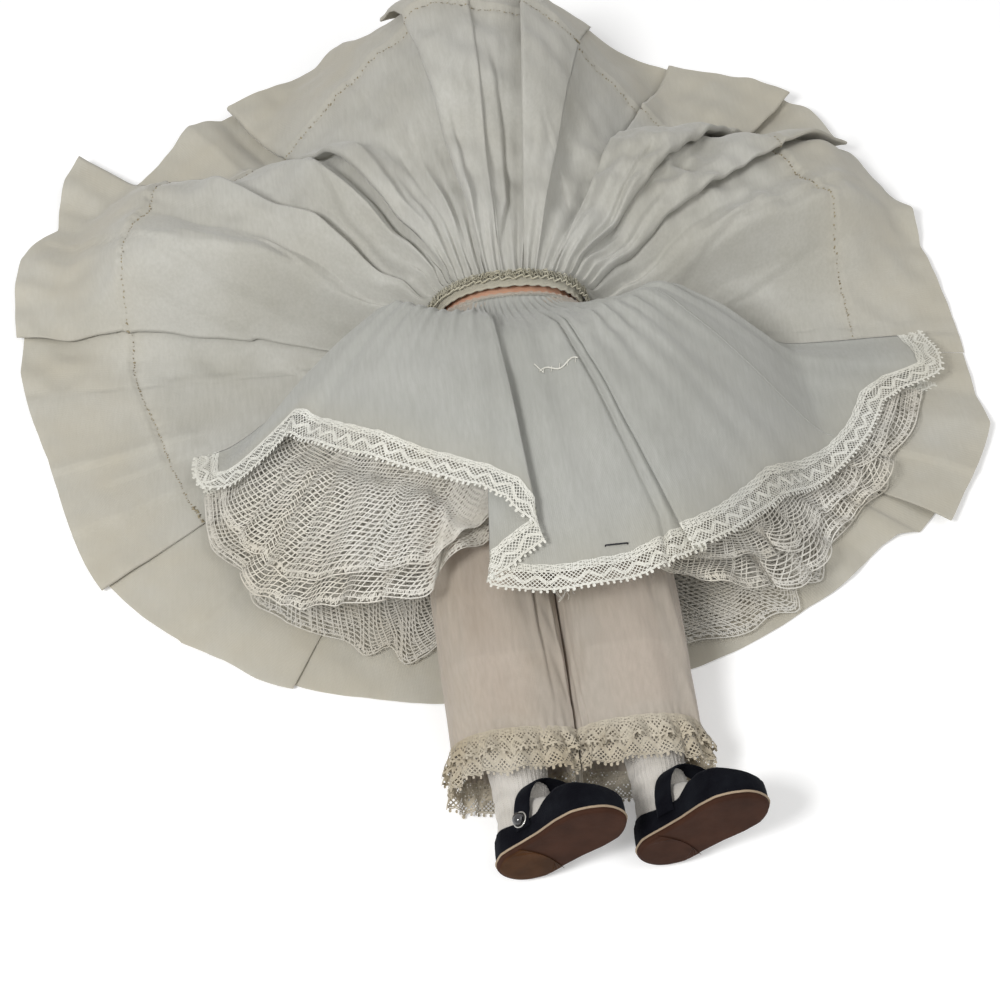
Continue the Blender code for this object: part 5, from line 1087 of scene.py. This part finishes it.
pants_pieces = {}
for name, side in SIDES:
    pants_pieces[name] = cloth, cuff = pants_leg(name, side), cuff_lace(name, side)
    fit(cloth, name + "_leg", name + "_pantalette_leg")
    fit(cuff, name + "_leg", name + "_cuff_lace")
top_halves = by_sides(pants_top(), "pantalette_top")


# ---- feet: velvet shoes with a strap and button, and flat soles ----
TOE_TURN = math.radians(46)
AHEAD = np.array([math.sin(TOE_TURN), 0, math.cos(TOE_TURN)])
ACROSS = np.array([math.cos(TOE_TURN), 0, -math.sin(TOE_TURN)])
UP = np.array([0.0, 1.0, 0.0])
FOOT_BACK, FOOT_LENGTH, FOOT_HALF, INSTEP = 0.0085, 0.0440, 0.0078, 0.0150
# Share of the foot's length from the heel, half width and height
FOOT_SHARES = ((0.00, .45, .50), (0.05, .80, .80), (0.16, .96, 1.00), (0.34, .94, 1.00),
               (0.50, .98, .78), (0.66, 1.12, .60), (0.80, 1.12, .50), (0.92, .90, .42),
               (0.98, .55, .34), (1.00, .28, .26))
SOCK_GROW, SOCK_LIFT = 0.0014, 0.0006
SOLE_GROW = 0.0030
STRAP_AHEAD, STRAP_LEAN, STRAP_HALF = FOOT_LENGTH * 0.26, 0.28, 0.0033


def in_foot(side, ahead, across, up):
    """Points from the foot's own directions, measured from the ankle at the top of the sole."""
    place = xyz(ahead, across, up)
    origin = np.array([side * LEG_X + ANKLE_OUT, -0.1828, ANKLE_Z])
    return origin + place @ np.stack([AHEAD, ACROSS, UP])


def foot_size(share, grow):
    """Half width and height of the foot with what it wears, at a share of its length."""
    return FOOT_HALF * table(FOOT_SHARES, share) + grow, INSTEP * table(FOOT_SHARES, share, 2) + grow * 2


def sock_top(ahead, across):
    """Height of the sock's upper side, for the shoe to lie over."""
    half, high = foot_size(np.clip((ahead + FOOT_BACK) / FOOT_LENGTH, 0, 1), SOCK_GROW)
    bulge = np.clip(1 - (np.abs(across) / half) ** 2.5, 0, 1) ** 0.4
    return high / 2 * (1 + bulge) + SOCK_LIFT


def sole_ring(size=1.0, count=160):
    """The foot's plan with a rounded heel and toe, scaled about its middle, as (ahead, across)."""
    share = 0.5 - 0.5 * np.cos(np.linspace(0, math.pi, count // 2))
    round_end = np.sqrt(np.clip(1 - ((share - 0.5) / 0.5) ** 6, 0, 1))
    half = (FOOT_HALF * np.maximum(table(FOOT_SHARES, share), 0.86) + SOLE_GROW) * round_end
    along = mix(-FOOT_BACK - SOLE_GROW, FOOT_LENGTH - FOOT_BACK + SOLE_GROW, share)
    plan = np.concatenate([np.stack([along, half], -1), np.stack([along, -half], -1)[::-1][1:-1]])
    middle = plan.mean(0)
    return middle + (plan - middle) * np.reshape(size, (-1, 1))


def sole_piece(name, side):
    rows = [(0.0, 0.97), (-0.0003, 0.995), (-0.0014, 1.0), (-0.0020, 0.985), (-0.0022, 0.94)]
    rows += [(-0.0022 + 0.00012 * (1 - size), size) for size in (0.86, 0.62, 0.34, 0.001)]
    rows = [in_foot(side, *sole_ring(size).T, level) for level, size in rows]
    return sheet_of(name + "_sole_leather", np.stack(rows)[:, ::-1], "sole", closed=True)


def heel_patch(name, side):
    """The worn lift at the heel."""
    cut = -FOOT_BACK + (0.0135 if side < 0 else 0.0125)
    rows = []
    for level, size in ((-0.00225, 0.955), (-0.00245, 0.945), (-0.00255, 0.90), (-0.00255, 0.5),
                        (-0.00255, 0.001)):
        ahead, across = sole_ring(size).T
        ahead = np.minimum(ahead, cut + 0.0016 * np.cos(across / FOOT_HALF * 1.3))
        rows.append(in_foot(side, ahead, across, level))
    return sheet_of(name + "_heel_patch", np.stack(rows)[:, ::-1], "heel" if side < 0 else "sole",
                    closed=True)


def welt_piece(name, side):
    path = in_foot(side, *sole_ring(count=200).T, -0.0003)
    return tubes(name + "_welt", [(path, 0.42 * MM)], 8, "welt", closed=True)


def top_line(share):
    """Height of the shoe's collar above the sole, low over the toes and high round the heel."""
    return np.interp(share, [0, .08, .22, .40, .50, .58, .70, .85, 1.0],
                     [.0092, .0092, .0080, .0064, .0068, .0092, .0104, .0096, .0070])


def shoe_upper(name, side):
    """Side walls up to the collar, closed over the toes, with a round throat over the instep."""
    share = (sole_ring(count=200)[:, 0] + FOOT_BACK + SOLE_GROW) / (FOOT_LENGTH + SOLE_GROW * 2)
    collar_height = top_line(share)
    rows = []
    for part in (0.0, 0.18, 0.4, 0.6, 0.8, 0.94, 1.0):
        ring = sole_ring(1 - 0.03 * part ** 3 - 0.02 * (part > 0.9), 200)
        rows.append(in_foot(side, *ring.T, collar_height * part + 0.0001))
    # Where the throat is open the top edge just rolls in; over the toes it closes over the sock
    closed = smooth((share - 0.50) / 0.12)
    for part in (0.08, 0.2, 0.35, 0.5, 0.65, 0.8, 0.92, 1.0):
        ring = mix(sole_ring(0.95, 200), np.array([FOOT_LENGTH * 0.52, 0]),
                   (mix(0.10, 0.985, closed) * part)[:, None])
        rise = 0.0040 * closed * math.sin(part * math.pi / 2) ** 0.6
        dome = collar_height + rise - (1 - closed) * 0.0016 * part
        dome = mix(dome, np.maximum(dome, sock_top(*ring.T) + 0.0007), smooth(closed * 3))
        rows.append(in_foot(side, *ring.T, dome + 0.0001))
    return sheet_of(name + "_velvet_upper", np.stack(rows)[:, ::-1], "velvet", closed=True)


def strap_piece(name, side):
    """A strap over the instep, narrower where the button closes it."""
    turn = np.linspace(-0.10, math.pi + 0.10, 60)
    rows = []
    for edge, lift in ((-1, -0.0004), (-0.96, 0.0001), (-0.7, 0.0003), (0.7, 0.0003), (0.96, 0.0001),
                       (1, -0.0004)):
        across = power(np.cos(turn), 0.8) * (FOOT_HALF + 0.0036 + lift)
        up = 0.0052 + (0.0172 + lift) * power(np.maximum(np.sin(turn), 0), 0.8)
        up = np.where(np.sin(turn) < 0, 0.0052 - 0.02 * np.abs(np.sin(turn)), up)
        taper = 1 - 0.25 * bell(turn - (0 if side > 0 else math.pi), 0.10)
        rows.append(in_foot(side, STRAP_AHEAD + edge * STRAP_HALF * taper + STRAP_LEAN * across, across, up))
    return sheet_of(name + "_velvet_strap", rows, "velvet")


def button_pieces(name, side):
    reach = FOOT_HALF + 0.0047
    turn = circle(28)

    def ring(out, radius):
        return in_foot(side, STRAP_AHEAD + STRAP_LEAN * side * reach + radius * MM * np.cos(turn),
                       side * (reach + out), 0.006375 + radius * MM * np.sin(turn))

    dome = np.stack([ring(*step) for step in ((-0.0010, 2.10), (0.0005, 2.18), (0.0012, 1.95),
                                              (0.0017, 1.50), (0.0020, 0.8), (0.00205, 0.01))])
    return (sheet_of(name + "_button_dome", dome[:, ::side], "button", closed=True),
            tubes(name + "_button_rim", [(ring(-0.0003, 2.55), 0.26 * MM)], 8, "metal", closed=True))


for name, side in SIDES:
    dome, rim = button_pieces(name, side)
    for piece, slot, node in ((sole_piece(name, side), "sole", "_shoe_sole"),
                              (heel_patch(name, side), "sole", None),
                              (welt_piece(name, side), "sole", None),
                              (shoe_upper(name, side), "velvet", "_shoe_upper"),
                              (strap_piece(name, side), "velvet", "_shoe_strap"),
                              (dome, "button", "_shoe_button"), (rim, "metal", "_button_ring")):
        fit(piece, name + "_leg", node and name + node)


# ---- knitted socks: a ribbed leg and a foot ----
def sock_leg(name, side):
    turn = circle(144)
    rib = 0.13 * MM * np.cos(turn * 36)
    rows = []
    for part in np.linspace(0, 1, 70):
        way = mix(0.82, 1.035, part)
        lean, mid, deep = leg_shape(min(way, 1.0))
        wide = 0.0130 * table(LEG_LINE, min(way, 1.0), 2)
        fold = 0.26 * MM * bell(part - 0.70, 0.25) * np.sin(part * 34 + 2.2 * np.sin(turn + side)
                                                            + np.sin(turn * 3) * 0.7)
        grow = 0.0015 + rib + fold + 0.7 * MM * smooth((0.10 - part) / 0.05)
        rows.append(xyz(side * LEG_X + ANKLE_OUT * lean + (wide + grow) * np.cos(turn), ANKLE_Y * way,
                        np.maximum(mid + (deep + grow) * np.sin(turn), 0.0009)))
    return sheet_of(name + "_sock_leg", rows, "knit", closed=True)


def sock_foot(name, side):
    turn = circle(72)
    rows = []
    for part in np.linspace(0, 1, 46):
        share = 0.5 - 0.5 * math.cos(part * math.pi)
        half, height = foot_size(share, SOCK_GROW)
        along = mix(-FOOT_BACK, FOOT_LENGTH - FOOT_BACK, share) + SOCK_GROW * (2 * share - 1)
        end = min(1.0, math.sqrt(max(0.0, 1 - abs(2 * share - 1) ** 9)) + 0.02)
        wrinkle = 0.35 * MM * np.sin(share * 60 + turn * 2) * bell(share - 0.42, 0.12) * (np.sin(turn) > 0)
        up = height / 2 * (1 + end * power(np.sin(turn), 0.8)) + SOCK_LIFT + wrinkle
        rows.append(in_foot(side, along, half * end * power(np.cos(turn), 0.8), up))
    return sheet_of(name + "_sock_foot", rows, "knit", closed=True)


sock_pieces = {name: (sock_leg(name, side), sock_foot(name, side)) for name, side in SIDES}
for name, pieces in sock_pieces.items():
    for piece in pieces:
        fit(piece, name + "_leg", name + "_sock")


# ---- bodice, placket and sleeves, which the turned-up skirt covers ----
# Along the torso: half width, half depth and height of the middle
TORSO_HALF = ((-.0132, .01485), (0, .0264), (.0189, .033), (.045, .026), (.06845, .03036),
              (.08185, .033), (.100, .03234), (.1072, .02376), (.112, .0142))
TORSO_DEPTH = ((-.0132, .006475), (-.00924, .01147), (0, .01591), (.0189, .0185),
               (.045, .0178), (.07515, .020), (.100, .0172), (.112, .0142))
TORSO_MID = ((-.0132, .026), (.045, .0255), (.100, .0239), (.112, .033))


BODICE_TOP, PLACKET_X = 0.1078, 0.0048
SHOULDER_X, SHOULDER_Y, SHOULDER_Z = 0.0425, 0.100, 0.0235
TORSO_SQUARENESS = 2.3


def torso_size(y):
    return [table(rows, y) for rows in (TORSO_HALF, TORSO_DEPTH, TORSO_MID)]


def torso_ring(y, grow, turn, floor=0.001):
    half, depth, mid = torso_size(y)
    share = 2 / TORSO_SQUARENESS
    return xyz((half + grow) * power(np.cos(turn), share), y,
               np.maximum(mid + (depth + grow) * power(np.sin(turn), share), floor))


def open_behind(gap, count):
    """Turns round the body from one side of the placket to the other."""
    return np.linspace(-math.pi / 2 + gap, math.pi * 1.5 - gap, count)


def bodice(waist_y=0.0425):
    turn = open_behind(0.035, 260)
    rows = []
    for y in np.linspace(waist_y, BODICE_TOP, 90):
        pull = Waves(77, 0.5, 10).at(turn * 0.12, y * 4) * 0.25 * MM
        dart = sum(bell(turn - at, 0.05) for at in (0.95, 2.19)) * 0.4 * MM * smooth((0.085 - y) / 0.02)
        gather = np.cos(turn * 70) * 0.22 * MM * bell(y - waist_y, 0.006)
        rows.append(torso_ring(y, 0.0013 + pull - dart * 0.5 + gather, turn, 0.0006))
    grid = np.stack(rows)
    faces = grid_faces(*grid.shape[:2])
    middle = grid.reshape(-1, 3)[faces].mean(1)
    armhole = ((np.hypot(middle[:, 1] - SHOULDER_Y, middle[:, 2] - SHOULDER_Z) < 0.0129)
               & (np.abs(middle[:, 0]) > 0.020))
    uv = np.stack([np.broadcast_to(turn * 0.03, grid.shape[:2]), grid[:, :, 1]], -1).reshape(-1, 2)
    return dress(make_object("bodice_cloth", grid, faces[~armhole], uv), "outer")


def bodice_trim():
    """Piping round the neck, a row of stitches below it, and piping round the armholes."""
    turn = open_behind(0.05, 200)
    stitched = torso_ring(0.1052, 0.0015, turn)
    stitched[:, 1] += 0.0004 * np.sin(turn * 60)
    lines = [(torso_ring(BODICE_TOP, 0.0016, turn), 0.45 * MM), (stitched, 0.22 * MM)]
    around = np.linspace(0, TAU, 90)
    y, z = SHOULDER_Y + 0.0131 * np.cos(around), SHOULDER_Z + 0.0131 * np.sin(around)
    half, depth, mid = torso_size(y)
    inside = np.clip(1 - (np.abs(z - mid) / (depth + 0.0014)) ** TORSO_SQUARENESS, 0.02, 1)
    for side in (1, -1):
        lines.append((xyz(side * (half + 0.0014) * inside ** (1 / TORSO_SQUARENESS), y, z), 0.4 * MM))
    return tubes("bodice_piping", lines, 6, "edge")


def placket_tape():
    across = np.array([-1, -0.96, -0.8, -0.4, 0, 0.4, 0.8, 0.96, 1.0])
    rows = []
    for y in np.linspace(0.0506, 0.0946, 60):
        _, depth, mid = torso_size(y)
        z = mid - depth - 0.0017 - np.array([0, 4, 6, 6, 6, 6, 6, 4, 0]) * 0.0001
        rows.append(xyz(PLACKET_X + across * 0.00375, y, z + 0.00012 * np.sin(y * 2400 + across * 2)))
    return sheet_of("placket_tape", rows, "outer")


def snap_fasteners():
    turn = circle(24)
    lines = []
    for k in range(3):
        y = WAIST_Y + 0.016 * (k + 0.75)
        _, depth, mid = torso_size(y)
        for radius, drop, thick in ((2.45, 0.0004, 0.42), (1.3, 0.0009, 0.34)):
            lines.append((xyz(PLACKET_X + radius * MM * np.cos(turn), y + radius * MM * np.sin(turn),
                              mid - depth - 0.0022 - drop), thick * MM))
    return tubes("snap_rims", lines, 8, "metal", closed=True)


ARM_SIZES = ((0.0, 1.16), (0.12, 1.02), (0.30, .96), (0.42, .90), (0.50, .90), (0.60, .88),
             (0.80, .60))


ARM_LENGTH, ARM_TURN = 0.104, math.radians(72)


def sleeve(name, side):
    """A puffed sleeve, gathered at the shoulder and at its band, which ends above the elbow."""
    turn = circle(160)
    rows = []
    down_arm = np.array([side * math.sin(ARM_TURN), -math.cos(ARM_TURN), 0])
    for part in np.linspace(0, 1, 60):
        way = mix(0.0038, 0.030 / ARM_LENGTH, part)
        centre = np.array([side * SHOULDER_X, SHOULDER_Y, SHOULDER_Z]) + down_arm * way * ARM_LENGTH
        ahead = mix(np.array([side, 0, 0]), down_arm, smooth(way * 9))
        ahead = ahead / np.linalg.norm(ahead)
        across = np.array([ahead[1], -ahead[0], 0]) * side
        bulge = math.sin(math.pi * part)
        radius = mix(0.0127, 0.0092 * table(ARM_SIZES, way) + 0.0012, smooth(part * 3)) + 0.0046 * bulge ** 0.8
        radius = radius + 0.5 * MM * np.cos(turn * 15 + 2 * math.sin(part * 3)) * bulge
        radius = radius + 0.28 * MM * np.cos(turn * 34) * (bell(part, 0.12) + bell(1 - part, 0.14))
        ring = centre + across * (radius * np.cos(turn))[:, None]
        ring[:, 2] += radius * np.sin(turn)
        ring[:, 0] = side * np.maximum(side * ring[:, 0], 0.0361)
        rows.append(ring)
    return (sheet_of(name + "_sleeve_cloth", rows, "outer", closed=True),
            tubes(name + "_sleeve_band", [(rows[-1], 0.5 * MM)], 6, "edge", closed=True))


bodice_cloth, *bodice_parts = bodice(), bodice_trim(), placket_tape(), snap_fasteners()
sleeve_pieces = {name: sleeve(name, side) for name, side in SIDES}
for piece, slot, node in zip((bodice_cloth, *bodice_parts), ("dress_cotton",) * 3 + ("metal",),
                             ("dress_bodice",) * 2 + ("back_placket",) * 2):
    fit(piece, "torso", node)
for name, pieces in sleeve_pieces.items():
    for piece in pieces:
        fit(piece, name + "_arm", name + "_sleeve")


# ---- elastics that hold the limbs ----
def elastic_loop(name, y, z, reach, rise=0.0024):
    """Three twisted strands in a flattened loop from side to side."""
    turn = np.linspace(0, TAU, 240, endpoint=False)
    x = np.sign(np.cos(turn)) * (reach - rise) * smooth(np.abs(np.cos(turn)) * 6) + rise * np.cos(turn)
    centre = xyz(x, y + rise * np.sin(turn), z)
    strands = []
    for k in range(3):
        twist = turn * 30 + k * TAU / 3
        strands.append((centre + xyz(0, np.cos(twist), np.sin(twist)) * 0.55 * MM, 0.62 * MM))
    return tubes(name + "_strands", strands, 8, "elastic", closed=True)


# Each loop is cut into a left half and a right half
for name, limb, y, z, reach in (("hip_elastic", "leg", 0.0, HIP_Z, 0.0074),
                                ("arm_elastic", "arm", SHOULDER_Y, SHOULDER_Z, 0.0285)):
    by_sides(elastic_loop(name, y, z, reach), name,
             lambda points: smooth((np.abs(points[:, 0]) - 0.001) / (reach - 0.006)))


# ---- a plain doll's face and a wig of combed locks ----
CHIN_Y, CROWN_Y, NECK_Z, HEAD_HALF, HEAD_DEPTH = 0.119, 0.193, 0.033, 0.0285, 0.030
# Share of the head's height, half width and half depth
HEAD_SHARES = ((0, .40, .42), (.06, .62, .66), (.16, .82, .84), (.30, .95, .95), (.45, 1, 1),
               (.62, 1, 1), (.78, .90, .90), (.90, .66, .68), (.97, .36, .38), (1.0, .12, .12))


def on_top(tree, x, y, off, miss):
    """Points above (x, y) on a surface, off it by a little."""
    hits = (tree.ray_cast(Vector((px, py, 0.2)), Vector((0, 0, -1)))[0] for px, py in zip(x, y))
    return xyz(x, y, [(miss if hit is None else hit.z) + off for hit in hits])


def face_paint():
    """Lips, brows and lashes as flat strokes that taper at both ends."""
    head = nodes["head_shell"].data
    tree = BVHTree.FromPolygons([v.co for v in head.vertices], [list(p.vertices) for p in head.polygons])
    t = np.linspace(-1, 1, 15)

    def stroke(x, y, half, taper):
        points = on_top(tree, x, y, 0.0003, 0.060)
        return points, np.broadcast_to([0.0, 0, 1], points.shape), half * np.sqrt(1 - taper * t ** 2)

    lips = [stroke(t * 0.0048, CHIN_Y + 0.0165 + lift + bow * (1 - t ** 2) - 0.0004 * bell(t, 0.18),
                   half, 0.96)
            for lift, bow, half in ((0.0006, 0.0009, 0.0007), (-0.0007, -0.0008, 0.0008))]
    brows = [stroke(side * (0.0103 + t * 0.0046), CHIN_Y + 0.037 + lift + high * (1 - t ** 2), half, 0.9)
             for side in (1, -1)
             for lift, half, high in ((0.0062, 0.00045, 0.0012), (0.0042, 0.00025, 0.0010))]
    return ribbons("lips", lips, "paint"), ribbons("brows_and_lashes", brows, "hair")


def wig_locks(count=1500, locks=22):
    """Flat strands from the crown down, drawn together into locks and kept off the face."""
    rng = np.random.default_rng(12)
    lines = []
    share = np.linspace(1.0, 0.0, 22)
    wide, deep = table(HEAD_SHARES, share), table(HEAD_SHARES, share, 2)
    for _ in range(count):
        around, layer = rng.uniform(0, TAU), rng.uniform(0, 1)
        grow = mix(0.0012, 0.0034, layer)
        lock = math.floor(around / TAU * locks) / locks * TAU
        bend = (mix(around, lock + 0.14, 0.45 * smooth((1 - share) * 1.5))
                + 0.10 * np.sin((1 - share) * 7 + lock * 5) * (1 - share))
        x = (HEAD_HALF * wide + grow) * np.cos(bend)
        y = mix(CHIN_Y, CROWN_Y, share) + grow * (2 * share - 1)
        z = NECK_Z + (HEAD_DEPTH * deep + grow) * np.sin(bend)
        face = (z > NECK_Z + HEAD_DEPTH * 0.25) & (np.hypot(x, y - 0.1382) < 0.0374 - 0.001 * layer)
        stop = np.nonzero((y <= 0.1279 + 0.003 * rng.random()) | face | (z <= 0.0004))[0]
        end = stop[0] if len(stop) else len(y)
        if end >= 4:
            lines.append((xyz(x, y, z)[:end], xyz(np.cos(bend), 0, np.sin(bend))[:end],
                          0.75 * MM * np.linspace(1, 0.35, end)))
    return ribbons("wig_locks", lines, "hair")


for piece, slot, node in zip((*face_paint(), wig_locks()), ("skin", "hair", "hair"), (None, None, "wig")):
    fit(piece, "head", node)


# ---- marks of use on the petticoat: mended slit, staple, seam and loose threads ----
petti_tree = BVHTree.FromPolygons(petti_points[:, :PETTI_FRONT_COLS].reshape(-1, 3).tolist(),
                                  grid_faces(PETTI_ROWS, PETTI_FRONT_COLS).tolist())


def on_petticoat(x, y, off):
    return on_top(petti_tree, x, y, off, 0.05)


def mend_threads():
    """A darned slit with the stitches across it, and loose threads at the hem."""
    t = np.linspace(0, 1, 14)
    lines = [(on_petticoat(mix(0.0035, 0.0180, t), mix(-0.0190, -0.0140, t) + 0.0012 * np.sin(t * 9),
                           0.0004), 0.30 * MM),
             (on_petticoat(mix(0.0020, 0.0050, t), mix(-0.0155, -0.0195, t), 0.0003), 0.20 * MM)]
    across = np.linspace(-1, 1, 6)
    for way in np.linspace(0, 1, 5):
        lines.append((on_petticoat(mix(0.0050, 0.0170, way) + 0.0003 * across,
                                   mix(-0.0185, -0.0145, way) + 0.0013 * across, 0.00035), 0.15 * MM))
    rng = np.random.default_rng(6)
    s = np.linspace(0, 1, 12)
    for k in range(6):
        bend = rng.uniform(-1, 1, 2)[0]
        lines.append((xyz(0.001 * k + 0.003 * bend * s + 0.001 * np.sin(s * 7 + k),
                          -0.0925 - 0.006 * s * rng.uniform(0.5, 1.2),
                          0.040 - 0.004 * s + 0.001 * np.sin(s * 5)), 0.09 * MM))
    return tubes("mend_threads", lines, 5, "lace")


def staple_wire():
    """A straight wire with its two ends turned down into the cloth."""
    x = np.linspace(0.0165, 0.0240, 10)
    top = on_petticoat(x, -0.0925 + (x - 0.0165) * 0.06, 0.0006)
    top[:, 2] = np.linspace(top[0, 2], top[-1, 2], len(top))
    ends = top[[0, -1]] - [[0.0002, 0, 0.0012], [-0.0002, 0, 0.0012]]
    return tubes("staple_wire", [(np.concatenate([ends[:1], top, ends[1:]]), 0.28 * MM)], 8, "staple")


def petti_seam():
    """The felled seam down the doll's left panel."""
    t = np.linspace(0, 1, 60)
    ridge = on_petticoat(mix(0.040, 0.116, t), mix(0.033, -0.020, t) - 0.006 * np.sin(t * math.pi), 0.00005)
    return tubes("petticoat_seam", [(ridge, 0.22 * MM)], 6, "petti")


marks = (by_sides(mend_threads()) + by_sides(staple_wire())
         + by_sides(petti_seam()) + by_sides(petti_binding))


# ---- the solids that show: skin, eyes and hooks ----
for node in ("torso_front", "torso_back", "head_shell", "left_arm", "right_arm", "left_leg", "right_leg"):
    dress(nodes[node], "skin")
for name, _ in SIDES:
    dress(nodes[name + "_eye"], "eye")
    dress(nodes[name + "_arm_hook"], "metal")
    dress(nodes[name + "_leg_hook"], "metal")


# ---- the area of each piece of cloth ----
def as_sheet(piece):
    """Adds up the surface's area, which is not kept."""
    area = float(read_out(piece.data.polygons, "area", 1).sum())


as_sheet(skirt)
for half in petti_halves:
    side = half.name.split("_")[0]
    as_sheet(half)
for halves, length, rests_on, fill in ((petti_lace_halves, 0.0105, ["petticoat"], 0.90),
                                       (*net_pieces["net_upper"], ["net_lower"], 0.50),
                                       (*net_pieces["net_lower"], ["dress_skirt"], 0.50),
                                       (top_halves, 0.064, ["torso_front", "torso_back"], 1.0)):
    for half in halves:
        as_sheet(half)
for name, _ in SIDES:
    cloth, cuff = pants_pieces[name]
    as_sheet(cloth)
    as_sheet(cuff)
    cloth, hem = sleeve_pieces[name]
    as_sheet(cloth)
    leg, foot = sock_pieces[name]
    as_sheet(leg)
as_sheet(bodice_cloth)


# ---- floor, light and camera ----
def place(name, data, spot, facing):
    """Links a lamp or camera at a spot, looking along a direction."""
    obj = bpy.data.objects.new(name, data)
    obj.location = spot
    obj.rotation_mode = "QUATERNION"
    obj.rotation_quaternion = Vector(facing).to_track_quat("-Z", "Y")
    bpy.context.scene.collection.objects.link(obj)
    return obj


def seen_directly(tree, otherwise, seen):
    """A strength that is one value for what the camera, gloss and glass see, and another for light."""
    path = add(tree, "ShaderNodeLightPath")
    ray = path.outputs["Is Camera Ray"]
    for kind in ("Is Glossy Ray", "Is Transmission Ray"):
        ray = add(tree, "ShaderNodeMath", {0: ray, 1: path.outputs[kind]}, operation="MAXIMUM").outputs[0]
    return add(tree, "ShaderNodeMapRange", {"Value": ray, "To Min": otherwise, "To Max": seen}).outputs[0]


def pale_floor(reach=1.2):
    grid = xyz(*np.meshgrid([-reach, reach], [-reach, reach]), 0)
    floor = make_object("floor", grid, grid_faces(2, 2))
    mat, tree, bsdf = shader("floor_look", (0.88, 0.88, 0.88), 0.9)
    set_inputs(tree, bsdf, {"Base Color": ramp(tree, noise(tree, 3, 2), (0.2, (0.87, 0.87, 0.87)),
                                         (0.8, (0.89, 0.89, 0.89)))})
    glow = add(tree, "ShaderNodeEmission", {"Color": (1, 1, 1), "Strength": seen_directly(tree, 0.0, 0.22)})
    both = add(tree, "ShaderNodeAddShader", {0: bsdf.outputs[0], 1: glow.outputs[0]})
    set_inputs(tree, tree.nodes["Material Output"], {"Surface": both.outputs[0]})
    floor.data.materials.append(mat)


def soft_light():
    world = bpy.data.worlds.new("studio")
    bpy.context.scene.world = world
    world.use_nodes = True
    tree = world.node_tree
    set_inputs(tree, tree.nodes["Background"], {"Color": (1.0, 0.995, 0.985),
                                          "Strength": seen_directly(tree, 0.45, 1.0)})
    for name, spot, size, energy in (("key", (-0.62, -0.62, 1.00), 0.30, 11.0),
                                     ("fill", (0.80, -0.35, 1.10), 1.2, 4.8)):
        light = bpy.data.lights.new(name, "AREA")
        light.shape, light.size, light.energy = "SQUARE", size, energy
        place(name, light, spot, Vector((0, 0.03, 0)) - Vector(spot))


def photo_camera():
    data = bpy.data.cameras.new("camera")
    data.sensor_width, data.lens = 36.0, 73.9
    data.clip_start, data.clip_end = 0.05, 20
    bpy.context.scene.camera = place("camera", data, (-0.067, -0.499, 0.608), (0.072, 0.613, -0.787))


pale_floor()
soft_light()
photo_camera()
bpy.context.scene.view_settings.view_transform = "Standard"
